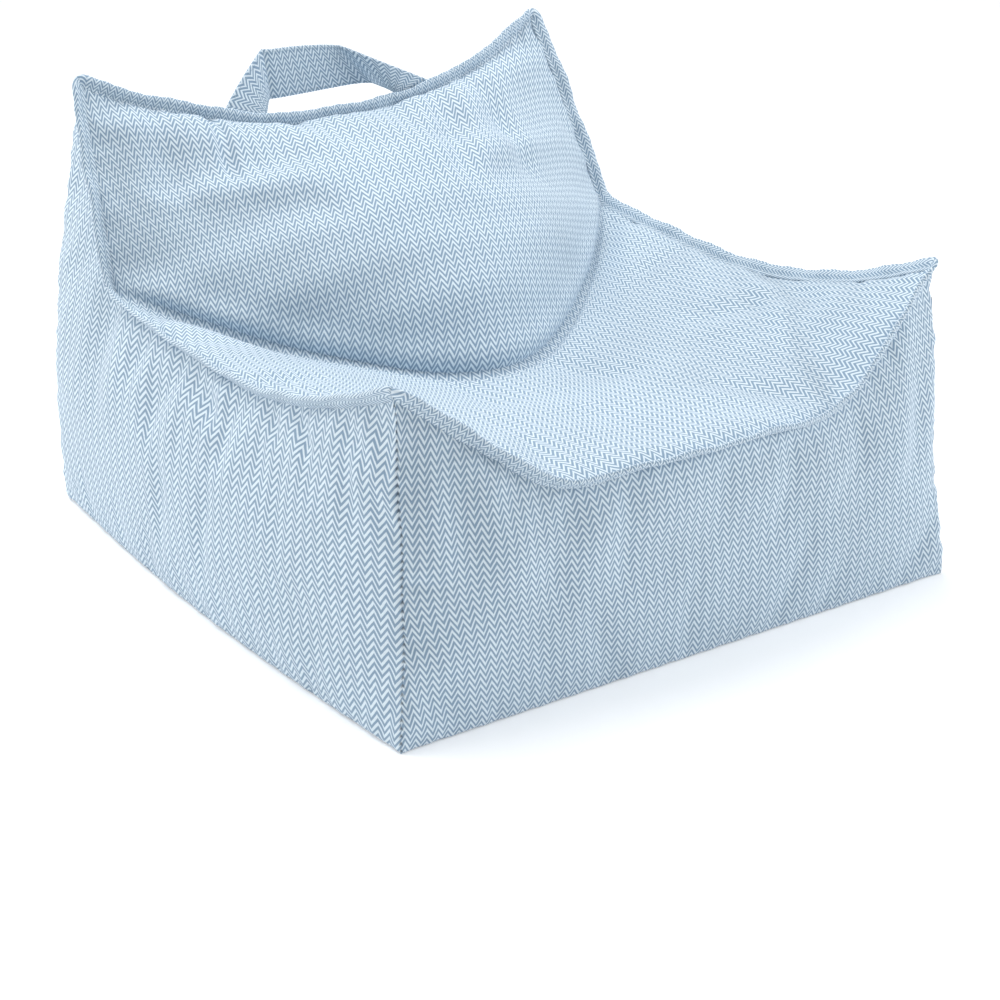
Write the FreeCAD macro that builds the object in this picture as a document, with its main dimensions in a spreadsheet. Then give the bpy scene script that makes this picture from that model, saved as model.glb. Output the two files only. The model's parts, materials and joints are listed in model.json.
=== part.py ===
"""Child-size lounge bean bag: a sewn cover with a flanged edge, a carry handle, a rear zipper,
an inner liner with its own zipper, and the bead fill.  Millimetres, +Z up, front towards -Y,
origin on the floor under the middle of the bag."""
import FreeCAD, Part
import math
import os

import Sketcher

Vector = FreeCAD.Vector
os.makedirs("parts", exist_ok=True)
doc = FreeCAD.newDocument("bean_bag_chair")

DIMENSIONS = [
    # the footprint, seam to seam, and how the walls leave the floor
    ("base_width", 630), ("base_rear_width", 592), ("base_depth", 656), ("side_swell", 16), ("front_swell", 7), ("rear_swell", 46),
    ("foot_curl", 4), ("foot_height", 10), ("foot_flare", 13), ("upright_height", 115),
    # the rim: front edge, arms, junction of arm and backrest, ears and top edge
    ("rim_low_height", 207), ("rim_low_half", 165), ("rim_bend", 12), ("rim_reach", 14.5),
    ("arm_width", 594), ("arm_setback", 32.5), ("arm_height", 304), ("arm_dip_height", 234),
    ("junction_width", 582), ("junction_place", 197), ("junction_height", 251),
    ("ear_width", 536), ("ear_setback", 36.5), ("ear_height", 434),
    ("top_setback", 75.5), ("top_height", 370),
    # the hollow of the seat and the crease under the backrest
    ("crease_place", -45), ("crease_height", 170), ("seat_crown", 9), ("back_swell", 62),
    # cloth and filling
    ("cloth", 2), ("liner_gap", 4), ("liner_cloth", 1), ("fill_gap", 1),
    # flange and handle
    ("flange_width", 10), ("flange_thickness", 3.6), ("flange_gap", 1.2), ("flange_end", 3.4),
    ("handle_span", 266), ("handle_foot", 55), ("handle_shoulder_span", 236), ("handle_top_span", 200),
    ("handle_rise", 56), ("handle_shoulder_rise", 39),
    ("strap_width", 48), ("strap_thickness", 4), ("handle_lean", 25),
    ("handle_place", 270), ("handle_height", 390),
    # cover zipper, across the rear near the floor
    ("zip_height", 62), ("zip_length", 430), ("zip_window", 28), ("zip_window_length", 452),
    ("zip_recess", 1.5), ("tape_width", 9.8), ("tape_thickness", 0.8), ("tape_gap", 0.1),
    ("chain_width", 2.9), ("chain_thickness", 2.2), ("chain_gap", 1.2), ("stop_length", 4),
    ("slider_length", 14), ("slider_width", 11), ("slider_plate", 1.1), ("slider_web", 0.6),
    ("slider_clearance", 0.3), ("bridge_length", 8), ("bridge_width", 2), ("bridge_height", 3),
    ("bridge_wall", 1), ("tab_length", 28), ("tab_width", 7), ("tab_thickness", 1.2), ("tab_eye", 4.6),
    # liner zipper, on the underside of the liner
    ("liner_zip_place", 190), ("liner_zip_height", 3.95), ("liner_zip_length", 380),
    ("liner_tape_width", 8), ("liner_tape_thickness", 0.5), ("liner_chain_width", 2),
    ("liner_chain_thickness", 1.2), ("liner_chain_gap", 1), ("liner_slider_length", 9),
    ("liner_slider_width", 7.5), ("liner_slider_plate", 0.6), ("liner_slider_clearance", 0.25),
    ("liner_slider_web", 0.5), ("liner_stop_length", 2.5),
]

sheet = doc.addObject("Spreadsheet::Sheet", "Dimensions")
for row, (alias, value) in enumerate(DIMENSIONS, start=1):
    sheet.set(f"A{row}", alias)
    sheet.set(f"B{row}", str(value))
    sheet.setAlias(f"B{row}", alias)
doc.recompute()


def size(alias):
    """A driving dimension, read back from the sheet."""
    return float(getattr(sheet, alias))


def bind(thing, **expressions):
    """Binds an object's properties to expressions in the sheet's aliases."""
    for name, expression in expressions.items():
        for alias, _ in sorted(DIMENSIONS, key=lambda d: -len(d[0])):
            expression = expression.replace(f"<{alias}>", f"Dimensions.{alias}")
        thing.setExpression(name.replace("__", "."), expression)


# ---------------------------------------------------------------------------------------------
# The sewn form.  Every panel is a net of poles of a cubic B-spline surface, and neighbouring
# panels share the poles of the seam between them.  Each pole also has an inward step, so that the
# same nets moved inwards give the cloth's inner face, the liner and the fill.
# ---------------------------------------------------------------------------------------------
class Pole:
    """A pole of a net: its place on the outside, and its step per millimetre of inset."""

    def __init__(self, place, inward):
        self.place = Vector(*place)
        self.inward = Vector(*inward)

    def at(self, inset):
        return self.place + self.inward * inset


ACROSS = (-1, -0.82, -0.58, -0.3, 0, 0.3, 0.58, 0.82, 1)
HALF_WIDTH = size("base_width") / 2
REAR_HALF = size("base_rear_width") / 2
FRONT = -size("base_depth") / 2
REAR = size("base_depth") / 2


def mix(a, b, share):
    return a + (b - a) * share


def side_rim():
    """Right-hand rim from the front corner, along the arm, up the backrest to the ear: (x, y, z)."""
    arm = size("arm_width") / 2
    joint = size("junction_width") / 2
    ear = size("ear_width") / 2
    front_y, joint_y, ear_y = FRONT + size("arm_setback"), size("junction_place"), REAR - size("ear_setback")
    high, dip, low, top = (size(n) for n in ("arm_height", "arm_dip_height", "junction_height", "ear_height"))
    arm_points = []
    for share, drop in ((0, 0), (0.16, 0.49), (0.35, 0.87), (0.56, 1)):
        arm_points.append((mix(arm, joint, share), mix(front_y, joint_y, share), mix(high, dip, drop)))
    for share, rise in ((0.78, 0.24), (0.945, 0.76), (1, 1)):
        arm_points.append((mix(arm, joint, share), mix(front_y, joint_y, share), mix(dip, low, rise)))
    back_points = [
        (mix(joint, ear, share), mix(joint_y, ear_y, lean), mix(low, top, rise))
        for share, lean, rise in ((0.05, 0.06, 0.085), (0.3, 0.38, 0.41), (0.68, 0.75, 0.77), (1, 1, 1))
    ]
    return arm_points + back_points


RIM = side_rim()
ROWS = len(RIM)
CREASE_ROW = 6


def side_inward(row):
    """Inward step of a rim pole: off the side wall, and off the seat, backrest or front beside it."""
    if row == 0:
        return (-1, 1, -3)
    if row <= CREASE_ROW:
        return (-1, 0, -1.5)
    return (-1, 0.9, -1.2) if row < ROWS - 1 else (-1, -1, -4.2)


def mirrored(side, vector):
    return (side * vector[0], vector[1], vector[2])


def rim_pole(side, row):
    return Pole(mirrored(side, RIM[row]), mirrored(side, side_inward(row)))


def front_rim_pole(column):
    """Front rim: down from the arm corners to a low, nearly straight middle."""
    across = ACROSS[column]
    if abs(across) == 1:
        return rim_pole(across, 0)
    low_half, reach = size("rim_low_half"), size("rim_reach")
    corner = RIM[0]
    if abs(across) > 0.6:
        share = 0.5
        x = mix(low_half, corner[0], share)
        y = mix(FRONT - reach / 4, corner[1], share)
        z = mix(size("rim_low_height"), corner[2], share)
        return Pole((math.copysign(x, across), y, z), (0, 1, -1.5))
    x = across / 0.58 * low_half
    bend = size("rim_bend") if abs(across) > 0.5 else 0
    place = (x, FRONT - reach * (1 - across * across * 2.2), size("rim_low_height") - bend)
    return Pole(place, (0, 1, -1))


def top_rim_pole(column):
    """Top edge of the backrest: a shallow hang between the two ears."""
    across = ACROSS[column]
    if abs(across) == 1:
        return rim_pole(across, ROWS - 1)
    ear = RIM[-1]
    rise = abs(across) ** 2.2
    y = mix(REAR - size("top_setback"), ear[1], rise)
    place = (across * ear[0], y, mix(size("top_height"), ear[2], rise))
    return Pole(place, (0, -1, -1.9 - 1.8 * rise))


def wall_column(foot, outward, rim, belly, late=1.6):
    """Poles of a wall from the floor to the rim: curled in at the floor, upright, then over to the rim.
    The higher late is, the nearer the rim the wall leans over.  The front corners flare at the foot."""
    foot, outward = Vector(*foot, 0), Vector(*outward, 0)
    inward = outward * -1
    curled = foot - outward * size("foot_curl")
    column = [Pole(curled, inward + Vector(0, 0, 1))]
    upright = size("upright_height")
    step = (upright - size("foot_height")) / 3
    flare = outward * (size("foot_flare") if outward.x and outward.y < 0 else 0)
    for level in range(4):
        column.append(Pole(foot - flare * (level / 3) + Vector(0, 0, size("foot_height") + level * step), inward))
    foot = foot - flare
    lean = Vector(rim.place.x - foot.x, rim.place.y - foot.y, 0)
    for share in (0.3, 0.6, 0.85):
        place = foot + lean * share ** late + outward * belly * math.sin(math.pi * share)
        column.append(Pole(place + Vector(0, 0, mix(upright, rim.place.z, share)), inward))
    return column + [rim]


def front_net():
    net = []
    for column, across in enumerate(ACROSS):
        corner = abs(across) == 1
        outward = (across if corner else 0, -1)
        belly = 0 if corner else size("front_swell")
        net.append(wall_column((across * HALF_WIDTH, FRONT), outward, front_rim_pole(column), belly))
    return net


def rear_net():
    net = []
    for column, across in enumerate(ACROSS):
        corner = abs(across) == 1
        outward = (across if corner else 0, 1)
        belly = 0 if corner else size("rear_swell")
        net.append(wall_column((across * REAR_HALF, REAR), outward, top_rim_pole(column), belly))
    return net


def side_foot(row):
    """Right-hand foot of the side wall: bowed outwards between the front and rear corners."""
    share = (0, 0.13, 0.285, 0.45, 0.62, 0.76, 0.82, 0.865, 0.92, 0.965, 1)[row]
    straight = mix(HALF_WIDTH, REAR_HALF, share)
    return (straight + size("side_swell") * math.sin(math.pi * share), mix(FRONT, REAR, share))


def side_net(side):
    net = []
    for row in range(ROWS):
        x, y = side_foot(row)
        end = {0: -1, ROWS - 1: 1}.get(row, 0)
        late = 1.1 if CREASE_ROW < row < ROWS - 1 else 1.6
        net.append(wall_column((side * x, y), (side, end), rim_pole(side, row), 0 if end else 4, late))
    return net


def crease_point(across):
    """The crease between seat and backrest: furthest forward and lowest in the middle."""
    reach = abs(across) ** 1.5
    x, y, z = RIM[CREASE_ROW]
    hollow = abs(across) ** 2
    return Vector(across * x, mix(size("crease_place"), y, reach), mix(size("crease_height"), z, hollow))


def inner_net():
    """Seat and backrest in one panel: rows from the front rim to the top edge."""
    net = []
    for column, across in enumerate(ACROSS):
        if abs(across) == 1:
            net.append([rim_pole(across, row) for row in range(ROWS)])
            continue
        front, top = front_rim_pole(column), top_rim_pole(column)
        crease = crease_point(across)
        fullness = 1 - across * across
        poles = [front]
        for share in (0.1, 0.32, 0.58, 0.8, 0.94):
            crown = size("seat_crown") * fullness * math.sin(math.pi * min(1, share * 1.6))
            place = front.place + (crease - front.place) * share
            drop = (front.place.z - crease.z) * 0.35 * math.sin(math.pi * share) * abs(across)
            poles.append(Pole(place + Vector(0, 0, crown - drop), (0, 0, -1)))
        poles.append(Pole(crease, (0, 0.3, -1)))
        for share, swell in ((0.1, 0.6), (0.42, 1), (0.78, 0.5)):
            place = crease + (top.place - crease) * share
            belly = Vector(0, -0.64, 0.77) * (size("back_swell") * fullness ** 0.8 * swell)
            poles.append(Pole(place + belly, (0, 0.64, -0.77)))
        net.append(poles + [top])
    return net


def base_net():
    net = []
    for across in ACROSS:
        column = []
        for row in range(ROWS):
            x, y = side_foot(row)
            end = {0: -1, ROWS - 1: 1}.get(row, 0)
            edge = across if abs(across) == 1 else 0
            place = (across * (x - size("foot_curl")), y - end * size("foot_curl"), 0)
            column.append(Pole(place, (-edge, -end, 1)))
        net.append(column)
    return net


NETS = {
    "front": front_net(), "rear": rear_net(), "left": side_net(-1), "right": side_net(1),
    "inner": inner_net(), "base": base_net(),
}


def clamped(count):
    """Uniform knots and their multiplicities for a clamped cubic with that many poles."""
    multiplicities = [4] + [1] * (count - 4) + [4]
    return multiplicities, [float(k) for k in range(len(multiplicities))]


def borders(net):
    return [net[0], net[-1], [column[0] for column in net], [column[-1] for column in net]]


def surface(poles):
    """The surface of a net of poles, or a plane face where the net lies flat."""
    if len({round(pole.z, 6) for column in poles for pole in column}) == 1:
        return Part.Face(Part.Wire(Part.__sortEdges__([curve(border) for border in borders(poles)])))
    u_mults, u_knots = clamped(len(poles))
    v_mults, v_knots = clamped(len(poles[0]))
    made = Part.BSplineSurface()
    made.buildFromPolesMultsKnots(poles, u_mults, v_mults, u_knots, v_knots, False, False, 3, 3)
    return made.toShape()


def curve(poles):
    mults, knots = clamped(len(poles))
    made = Part.BSplineCurve()
    made.buildFromPolesMultsKnots(poles, mults, knots, False, 3)
    return made.toShape()


def sewn(faces):
    """A closed solid from faces that share their edges, turned the right way out."""
    shell = Part.makeShell(faces)
    shell.sewShape()
    solid = Part.makeSolid(shell)
    if solid.Volume < 0:
        solid.reverse()
    return solid


def net_at(name, inset):
    return [[pole.at(inset) for pole in column] for column in NETS[name]]


def form(inset):
    """The whole closed form at that inset."""
    return sewn([surface(net_at(name, inset)) for name in NETS])


def panel(name):
    """One cloth panel: the stretch between its outer face and its inner face."""
    outer, inner = net_at(name, 0), net_at(name, size("cloth"))
    faces = [surface(outer), surface(inner)]
    for one, other in zip(borders(outer), borders(inner)):
        faces.append(Part.makeRuledSurface(curve(one), curve(other)))
    return sewn(faces)


def strip(rim, outward):
    """A flange: a flat strip that stands out of the seam along a rim, short of its two corners."""
    gap, width, half = size("flange_gap"), size("flange_width"), size("flange_thickness") / 2
    rim = list(rim)
    rim[0] = rim[0] + (rim[1] - rim[0]).normalize() * size("flange_end")
    rim[-1] = rim[-1] + (rim[-2] - rim[-1]).normalize() * size("flange_end")
    rails = [[], [], [], []]
    for place, (before, after) in zip(rim, zip([rim[0]] + rim[:-1], rim[1:] + [rim[-1]])):
        along = (after - before).normalize()
        out = outward(place)
        out = (out - along * out.dot(along)).normalize()
        across = along.cross(out) * half
        near, far = place + out * gap, place + out * (gap + width)
        for rail, point in zip(rails, (near - across, near + across, far + across, far - across)):
            rail.append(point)
    edges = [curve(rail) for rail in rails]
    faces = [Part.makeRuledSurface(edges[k], edges[(k + 1) % 4]) for k in range(4)]
    for end in (0, -1):
        corners = [rail[end] for rail in rails]
        one = Part.makeLine(corners[0], corners[1])
        other = Part.makeLine(corners[3], corners[2])
        faces.append(Part.makeRuledSurface(one, other))
    return sewn(faces)


def add_shape(label, shape):
    thing = doc.addObject("Part::Feature", label)
    thing.Label = label
    thing.Shape = shape
    thing.Placement = FreeCAD.Placement()
    return thing


nodes = []


def keep(thing, label):
    """Names a finished sub-part."""
    thing.Label = label
    nodes.append(thing)
    return thing


def box(name, length, width, height, x, y, z):
    """A Part box whose sizes and corner are expressions in the sheet's aliases."""
    made = doc.addObject("Part::Box", name)
    bind(made, Length=length, Width=width, Height=height)
    bind(made, Placement__Base__x=x, Placement__Base__y=y, Placement__Base__z=z)
    return made


def joined(kind, name, base, tool):
    made = doc.addObject(kind, name)
    made.Base, made.Tool = base, tool
    return made


# cover panels ---------------------------------------------------------------------------------
keep(add_shape("seat_back_panel", panel("inner")), "seat_back_panel")
keep(add_shape("front_panel", panel("front")), "front_panel")
keep(add_shape("left_side_panel", panel("left")), "left_side_panel")
keep(add_shape("right_side_panel", panel("right")), "right_side_panel")
keep(add_shape("base_panel", panel("base")), "base_panel")

# The rear is sewn from two panels that meet at the zipper's height and leave its window open.
ABOVE = 500
rear_wall = add_shape("rear_wall", panel("rear"))
window = box("zip_window_cut", "<zip_window_length>", "<base_depth> / 2", "<zip_window>",
             "-<zip_window_length> / 2", "<base_depth> / 4", "<zip_height> - <zip_window> / 2")
lower_block = box("below_zip", "<base_width> * 2", "<base_depth> * 2", "<zip_height>",
                  "-<base_width>", "-<base_depth>", "0")
upper_block = box("above_zip", "<base_width> * 2", "<base_depth> * 2", str(ABOVE),
                  "-<base_width>", "-<base_depth>", "<zip_height>")
rear_open = joined("Part::Cut", "rear_wall_open", rear_wall, window)
keep(joined("Part::Common", "rear_lower", rear_open, lower_block), "rear_lower_panel")
keep(joined("Part::Common", "rear_upper", rear_open, upper_block), "rear_upper_panel")

# flange strips --------------------------------------------------------------------------------
LEFT, RIGHT = -1, 1


def rim_run(side, first, last):
    return [rim_pole(side, row).place for row in range(first, last + 1)]


def arm_outward(side):
    return lambda place: Vector(side * 0.8, 0, 0.6)


def back_outward(side):
    return lambda place: Vector(side * 0.9, -0.25, 0.35)


FRONT_RIM = [front_rim_pole(column).place for column in range(len(ACROSS))]
TOP_RIM = [top_rim_pole(column).place for column in range(len(ACROSS))]
FLANGES = [
    ("front_flange", FRONT_RIM, lambda place: Vector(0, -0.75, 0.66)),
    ("top_flange", TOP_RIM, lambda place: Vector(0, 0.1, 0.99)),
]
for word, side in (("left", LEFT), ("right", RIGHT)):
    FLANGES.append((f"{word}_arm_flange", rim_run(side, 0, CREASE_ROW), arm_outward(side)))
    FLANGES.append((f"{word}_back_flange", rim_run(side, CREASE_ROW, ROWS - 1), back_outward(side)))
for label, rim, outward in FLANGES:
    keep(add_shape(label, strip(rim, outward)), label)


# sketches -------------------------------------------------------------------------------------
def plane_of(body, role):
    return next(f for f in body.Origin.OriginFeatures if f.Role == role)


def outline(body, name, role, points):
    """A closed sketch through those points on one of the body's own planes."""
    sketch = body.newObject("Sketcher::SketchObject", name)
    sketch.AttachmentSupport = [(plane_of(body, role), "")]
    sketch.MapMode = "FlatFace"
    corners = [Vector(*point, 0) for point in points]
    for start, end in zip(corners, corners[1:] + corners[:1]):
        sketch.addGeometry(Part.LineSegment(start, end), False)
    count = len(corners)
    for k in range(count):
        sketch.addConstraint(Sketcher.Constraint("Coincident", k, 2, (k + 1) % count, 1))
    return sketch


def fix_corner(sketch, corner, across, up):
    """Ties one corner of an outline to the sheet, measured from the sketch's origin."""
    point = sketch.Geometry[corner].StartPoint
    for kind, value, expression in (("DistanceX", point.x, across), ("DistanceY", point.y, up)):
        index = sketch.addConstraint(Sketcher.Constraint(kind, -1, 1, corner, 1, value))
        bind(sketch, **{f"Constraints[{index}]": expression})


def padded(body, sketch, length):
    """Pads a sketch to both sides of its plane."""
    pad = body.newObject("PartDesign::Pad", sketch.Name + "_pad")
    pad.Profile = sketch
    pad.SideType = "Symmetric"
    bind(pad, Length=length)
    return pad


# carry handle: a flat strap, both feet at the top seam, its middle a hand's breadth above it -----
def carry_handle():
    body = doc.addObject("PartDesign::Body", "carry_handle")
    half_span, top_half = size("handle_span") / 2, size("handle_top_span") / 2
    corner, shoulder = size("handle_shoulder_span") / 2, size("handle_shoulder_rise")
    rise, low = size("handle_rise"), size("handle_rise") - size("strap_width")
    inner = half_span - size("handle_foot")
    points = [(half_span, 0), (corner, shoulder), (top_half, rise), (-top_half, rise), (-corner, shoulder),
              (-half_span, 0), (-inner, 0), (low - inner, low), (inner - low, low), (inner, 0)]
    rules = [("<handle_span> / 2", "0"), ("<handle_shoulder_span> / 2", "<handle_shoulder_rise>"),
             ("<handle_top_span> / 2", "<handle_rise>")]
    low_rule = "<handle_rise> - <strap_width>"
    inner_rules = [("<handle_span> / 2 - <handle_foot>", "0"),
                   (f"<handle_span> / 2 - <handle_foot> - (<handle_rise> - <strap_width>)", low_rule)]
    sketch = outline(body, "strap_outline", "XZ_Plane", points)
    for index, (across, up) in enumerate(rules):
        fix_corner(sketch, index, across, up)
        fix_corner(sketch, 5 - index, f"-({across})", up)
    for index, (across, up) in enumerate(inner_rules):
        fix_corner(sketch, 9 - index, across, up)
        fix_corner(sketch, 6 + index, f"-({across})", up)
    padded(body, sketch, "<strap_thickness>")
    doc.recompute()
    bind(body, Placement__Base__y="<handle_place>", Placement__Base__z="<handle_height>")
    body.Placement.Rotation = FreeCAD.Rotation(Vector(1, 0, 0), -size("handle_lean"))
    return body


keep(carry_handle(), "carry_handle")

# zippers ---------------------------------------------------------------------------------------
# Each zipper is laid out in a frame of its own: X along the chain, Y out of the cloth, Z across.
def zipper_frame(place, turn):
    return FreeCAD.Placement(Vector(*place), FreeCAD.Rotation(Vector(1, 0, 0), turn))


def zip_box(frame, label, sizes, corner):
    """A box in a zipper's frame, its three sizes bound to the sheet."""
    made = doc.addObject("Part::Box", label)
    for name, expression in zip(("Length", "Width", "Height"), sizes):
        bind(made, **{name: expression})
    made.Placement = frame.multiply(FreeCAD.Placement(Vector(*corner), FreeCAD.Rotation()))
    return keep(made, label)


def zipper(prefix, stem, frame, tapes):
    """Two tapes, two rows of teeth and two end stops."""
    length, chain, gap = size(stem + "zip_length"), size(stem + "chain_width"), size(stem + "chain_gap")
    thick, tape_thick, stop = (size(stem + n) for n in ("chain_thickness", "tape_thickness", "stop_length"))
    tape = size(stem + "tape_width")
    tape_start = gap / 2 + chain + size("tape_gap")
    for word, chain_edge, tape_edge in zip(tapes, (gap / 2, -gap / 2 - chain), (tape_start, -tape_start - tape)):
        zip_box(frame, f"{prefix}_{word}_tape",
                (f"<{stem}zip_length> + 20", f"<{stem}tape_thickness>", f"<{stem}tape_width>"),
                (-length / 2 - 10, -tape_thick / 2, tape_edge))
        zip_box(frame, f"{prefix}_{word}_chain",
                (f"<{stem}zip_length>", f"<{stem}chain_thickness>", f"<{stem}chain_width>"),
                (-length / 2, -thick / 2, chain_edge))
    for word, start in (("start", -length / 2 - stop - 0.5), ("end", length / 2 + 0.5)):
        zip_box(frame, f"{prefix}_{word}_stop",
                (f"<{stem}stop_length>", f"<{stem}chain_thickness> + 0.2", f"<{stem}chain_width> * 2"),
                (start, -thick / 2 - 0.1, -chain))


def slider(label, stem, frame):
    """A slider: two plates, above and below the chain, joined by a web between its two rows."""
    body = doc.addObject("PartDesign::Body", label)
    half, web = size(stem + "slider_width") / 2, size(stem + "slider_web") / 2
    gap = size(stem + "chain_thickness") / 2 + size(stem + "slider_clearance")
    outer = gap + size(stem + "slider_plate")
    quarter = [(outer, half), (gap, half), (gap, web)]
    points = quarter + [(-y, z) for y, z in reversed(quarter)]
    points += [(-y, -z) for y, z in quarter] + [(y, -z) for y, z in reversed(quarter)]
    sketch = outline(body, label + "_section", "YZ_Plane", points)
    gap_rule = f"<{stem}chain_thickness> / 2 + <{stem}slider_clearance>"
    outer_rule = f"{gap_rule} + <{stem}slider_plate>"
    half_rule, web_rule = f"<{stem}slider_width> / 2", f"<{stem}slider_web> / 2"
    quarter_rules = [(outer_rule, half_rule), (gap_rule, half_rule), (gap_rule, web_rule)]
    for k, (depth, across) in enumerate(quarter_rules):
        fix_corner(sketch, k, depth, across)
        fix_corner(sketch, 5 - k, f"-({depth})", across)
        fix_corner(sketch, 6 + k, f"-({depth})", f"-({across})")
        fix_corner(sketch, 11 - k, depth, f"-({across})")
    padded(body, sketch, f"<{stem}slider_length>")
    body.Placement = frame.multiply(
        FreeCAD.Placement(Vector(slider_start(stem), 0, 0), FreeCAD.Rotation()))
    return body, outer


def slider_start(stem):
    return -size(stem + "zip_length") / 2 + size(stem + "slider_length") / 2 + 1


def add_bridge(body, outer):
    """The arch on the slider's outer plate that holds the pull tab."""
    foot, half = outer - 0.2, size("bridge_length") / 2
    top, wall = outer + size("bridge_height"), size("bridge_wall")
    points = [(half, foot), (half, top), (-half, top), (-half, foot), (wall - half, foot),
              (wall - half, top - wall), (half - wall, top - wall), (half - wall, foot)]
    sketch = outline(body, "bridge_outline", "XY_Plane", points)
    padded(body, sketch, "<bridge_width>")


def pull_tab(frame, outer):
    """The pull tab, laid flat along the chain, its eye round the slider's bridge."""
    body = doc.addObject("PartDesign::Body", "zip_pull_tab")
    half, bar, eye = size("tab_width") / 2, size("tab_thickness") / 2, size("tab_eye")
    length = size("tab_length")
    sketch = outline(body, "tab_outline", "XZ_Plane",
                     [(-bar, -half), (length - half, -half), (length, 0), (length - half, half), (-bar, half)])
    padded(body, sketch, "<tab_thickness>")
    doc.recompute()
    hole_half = size("bridge_width") / 2 + size("slider_clearance")
    hole = outline(body, "tab_eye_outline", "XZ_Plane",
                   [(bar, -hole_half), (bar + eye, -hole_half), (bar + eye, hole_half), (bar, hole_half)])
    pocket = body.newObject("PartDesign::Pocket", "tab_eye_cut")
    pocket.Profile = hole
    pocket.Type = "ThroughAll"
    pocket.Midplane = True
    lift = outer + (size("bridge_height") - size("bridge_wall")) / 2
    body.Placement = frame.multiply(
        FreeCAD.Placement(Vector(slider_start(""), lift, 0), FreeCAD.Rotation()))
    return body


cover_zip = zipper_frame((0, REAR - size("zip_recess"), size("zip_height")), 0)
zipper("zip", "", cover_zip, ("upper", "lower"))
zip_slider, plate_face = slider("zip_slider", "", cover_zip)
add_bridge(zip_slider, plate_face)
keep(zip_slider, "zip_slider")
keep(pull_tab(cover_zip, plate_face), "zip_pull_tab")

liner_zip = zipper_frame((0, size("liner_zip_place"), size("liner_zip_height")), -90)
zipper("liner_zip", "liner_", liner_zip, ("rear", "front"))
keep(slider("liner_zip_slider", "liner_", liner_zip)[0], "liner_zip_slider")

# liner and fill -------------------------------------------------------------------------------
liner_face = size("cloth") + size("liner_gap")
liner_inside = liner_face + size("liner_cloth")
liner_outer = add_shape("liner_outside", form(liner_face))
liner_hollow = add_shape("liner_inside", form(liner_inside))
keep(joined("Part::Cut", "liner", liner_outer, liner_hollow), "inner_liner")
keep(add_shape("beads", form(liner_inside + size("fill_gap"))), "bead_fill")

# check and write ------------------------------------------------------------------------------
doc.recompute()
for thing in doc.Objects:
    if "Invalid" in thing.State or "Error" in thing.State:
        raise SystemExit(f"{thing.Label} did not compute: {thing.State}")
for thing in nodes:
    if thing.Shape.isNull() or not thing.Shape.isValid() or thing.Shape.Volume <= 0:
        raise SystemExit(f"{thing.Label} has no valid shape")
for thing in nodes:
    thing.Shape.exportStep(f"parts/{thing.Label}.step")
print(len(nodes), "sub-parts written")
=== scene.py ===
import json
import math

import bpy
import numpy as np
from mathutils import Matrix, Vector

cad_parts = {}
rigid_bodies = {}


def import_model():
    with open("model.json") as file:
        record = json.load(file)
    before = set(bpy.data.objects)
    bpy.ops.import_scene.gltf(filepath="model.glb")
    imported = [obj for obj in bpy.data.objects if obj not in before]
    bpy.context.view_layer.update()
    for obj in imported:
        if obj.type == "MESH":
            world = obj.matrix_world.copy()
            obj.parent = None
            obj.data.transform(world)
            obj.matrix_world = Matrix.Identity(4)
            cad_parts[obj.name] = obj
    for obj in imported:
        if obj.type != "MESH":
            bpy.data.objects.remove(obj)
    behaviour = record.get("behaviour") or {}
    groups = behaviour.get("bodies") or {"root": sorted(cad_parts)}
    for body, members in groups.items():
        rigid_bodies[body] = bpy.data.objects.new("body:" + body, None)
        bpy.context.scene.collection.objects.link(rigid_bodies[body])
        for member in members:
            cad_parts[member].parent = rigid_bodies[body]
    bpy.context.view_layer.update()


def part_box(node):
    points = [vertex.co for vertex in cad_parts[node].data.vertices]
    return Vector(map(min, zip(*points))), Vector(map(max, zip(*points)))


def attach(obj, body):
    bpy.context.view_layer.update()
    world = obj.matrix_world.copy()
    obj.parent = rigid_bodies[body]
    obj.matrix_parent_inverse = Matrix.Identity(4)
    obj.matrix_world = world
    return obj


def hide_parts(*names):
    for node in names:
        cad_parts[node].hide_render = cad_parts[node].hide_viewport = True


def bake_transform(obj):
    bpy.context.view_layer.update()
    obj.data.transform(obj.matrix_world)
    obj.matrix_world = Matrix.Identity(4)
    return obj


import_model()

MM = 0.001
RNG = np.random.default_rng(11)

# ---------------------------------------------------------------------------------------------
# The sewn form, as part.py lays it out: nets of poles of clamped cubic surfaces, in millimetres.
# ---------------------------------------------------------------------------------------------
ACROSS = (-1, -0.82, -0.58, -0.3, 0, 0.3, 0.58, 0.82, 1)
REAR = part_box("left_side_panel")[1].y / MM
FRONT = -REAR
HALF_WIDTH, REAR_HALF = 315, 296
SIDE_SWELL, FRONT_SWELL, REAR_SWELL = 16, 7, 46
FOOT_CURL, FOOT_HEIGHT, FOOT_FLARE, UPRIGHT = 4, 10, 13, 115
LOW_HEIGHT, LOW_HALF, BEND, REACH = 207, 165, 12, 14.5
CREASE_ROW, ROWS = 6, 11
CREASE_PLACE, CREASE_HEIGHT, SEAT_CROWN, BACK_SWELL = -45, 170, 9, 62
TOP_SETBACK, TOP_HEIGHT = 75.5, 370
LEAN_NEAR_RIM, LEAN_EVENLY = 1.6, 1.1
SIDE_FOOT = (0, 0.13, 0.285, 0.45, 0.62, 0.76, 0.82, 0.865, 0.92, 0.965, 1)


def mix(a, b, share):
    return a + (b - a) * share


def vec(*parts):
    return np.array(parts, float)


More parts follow.
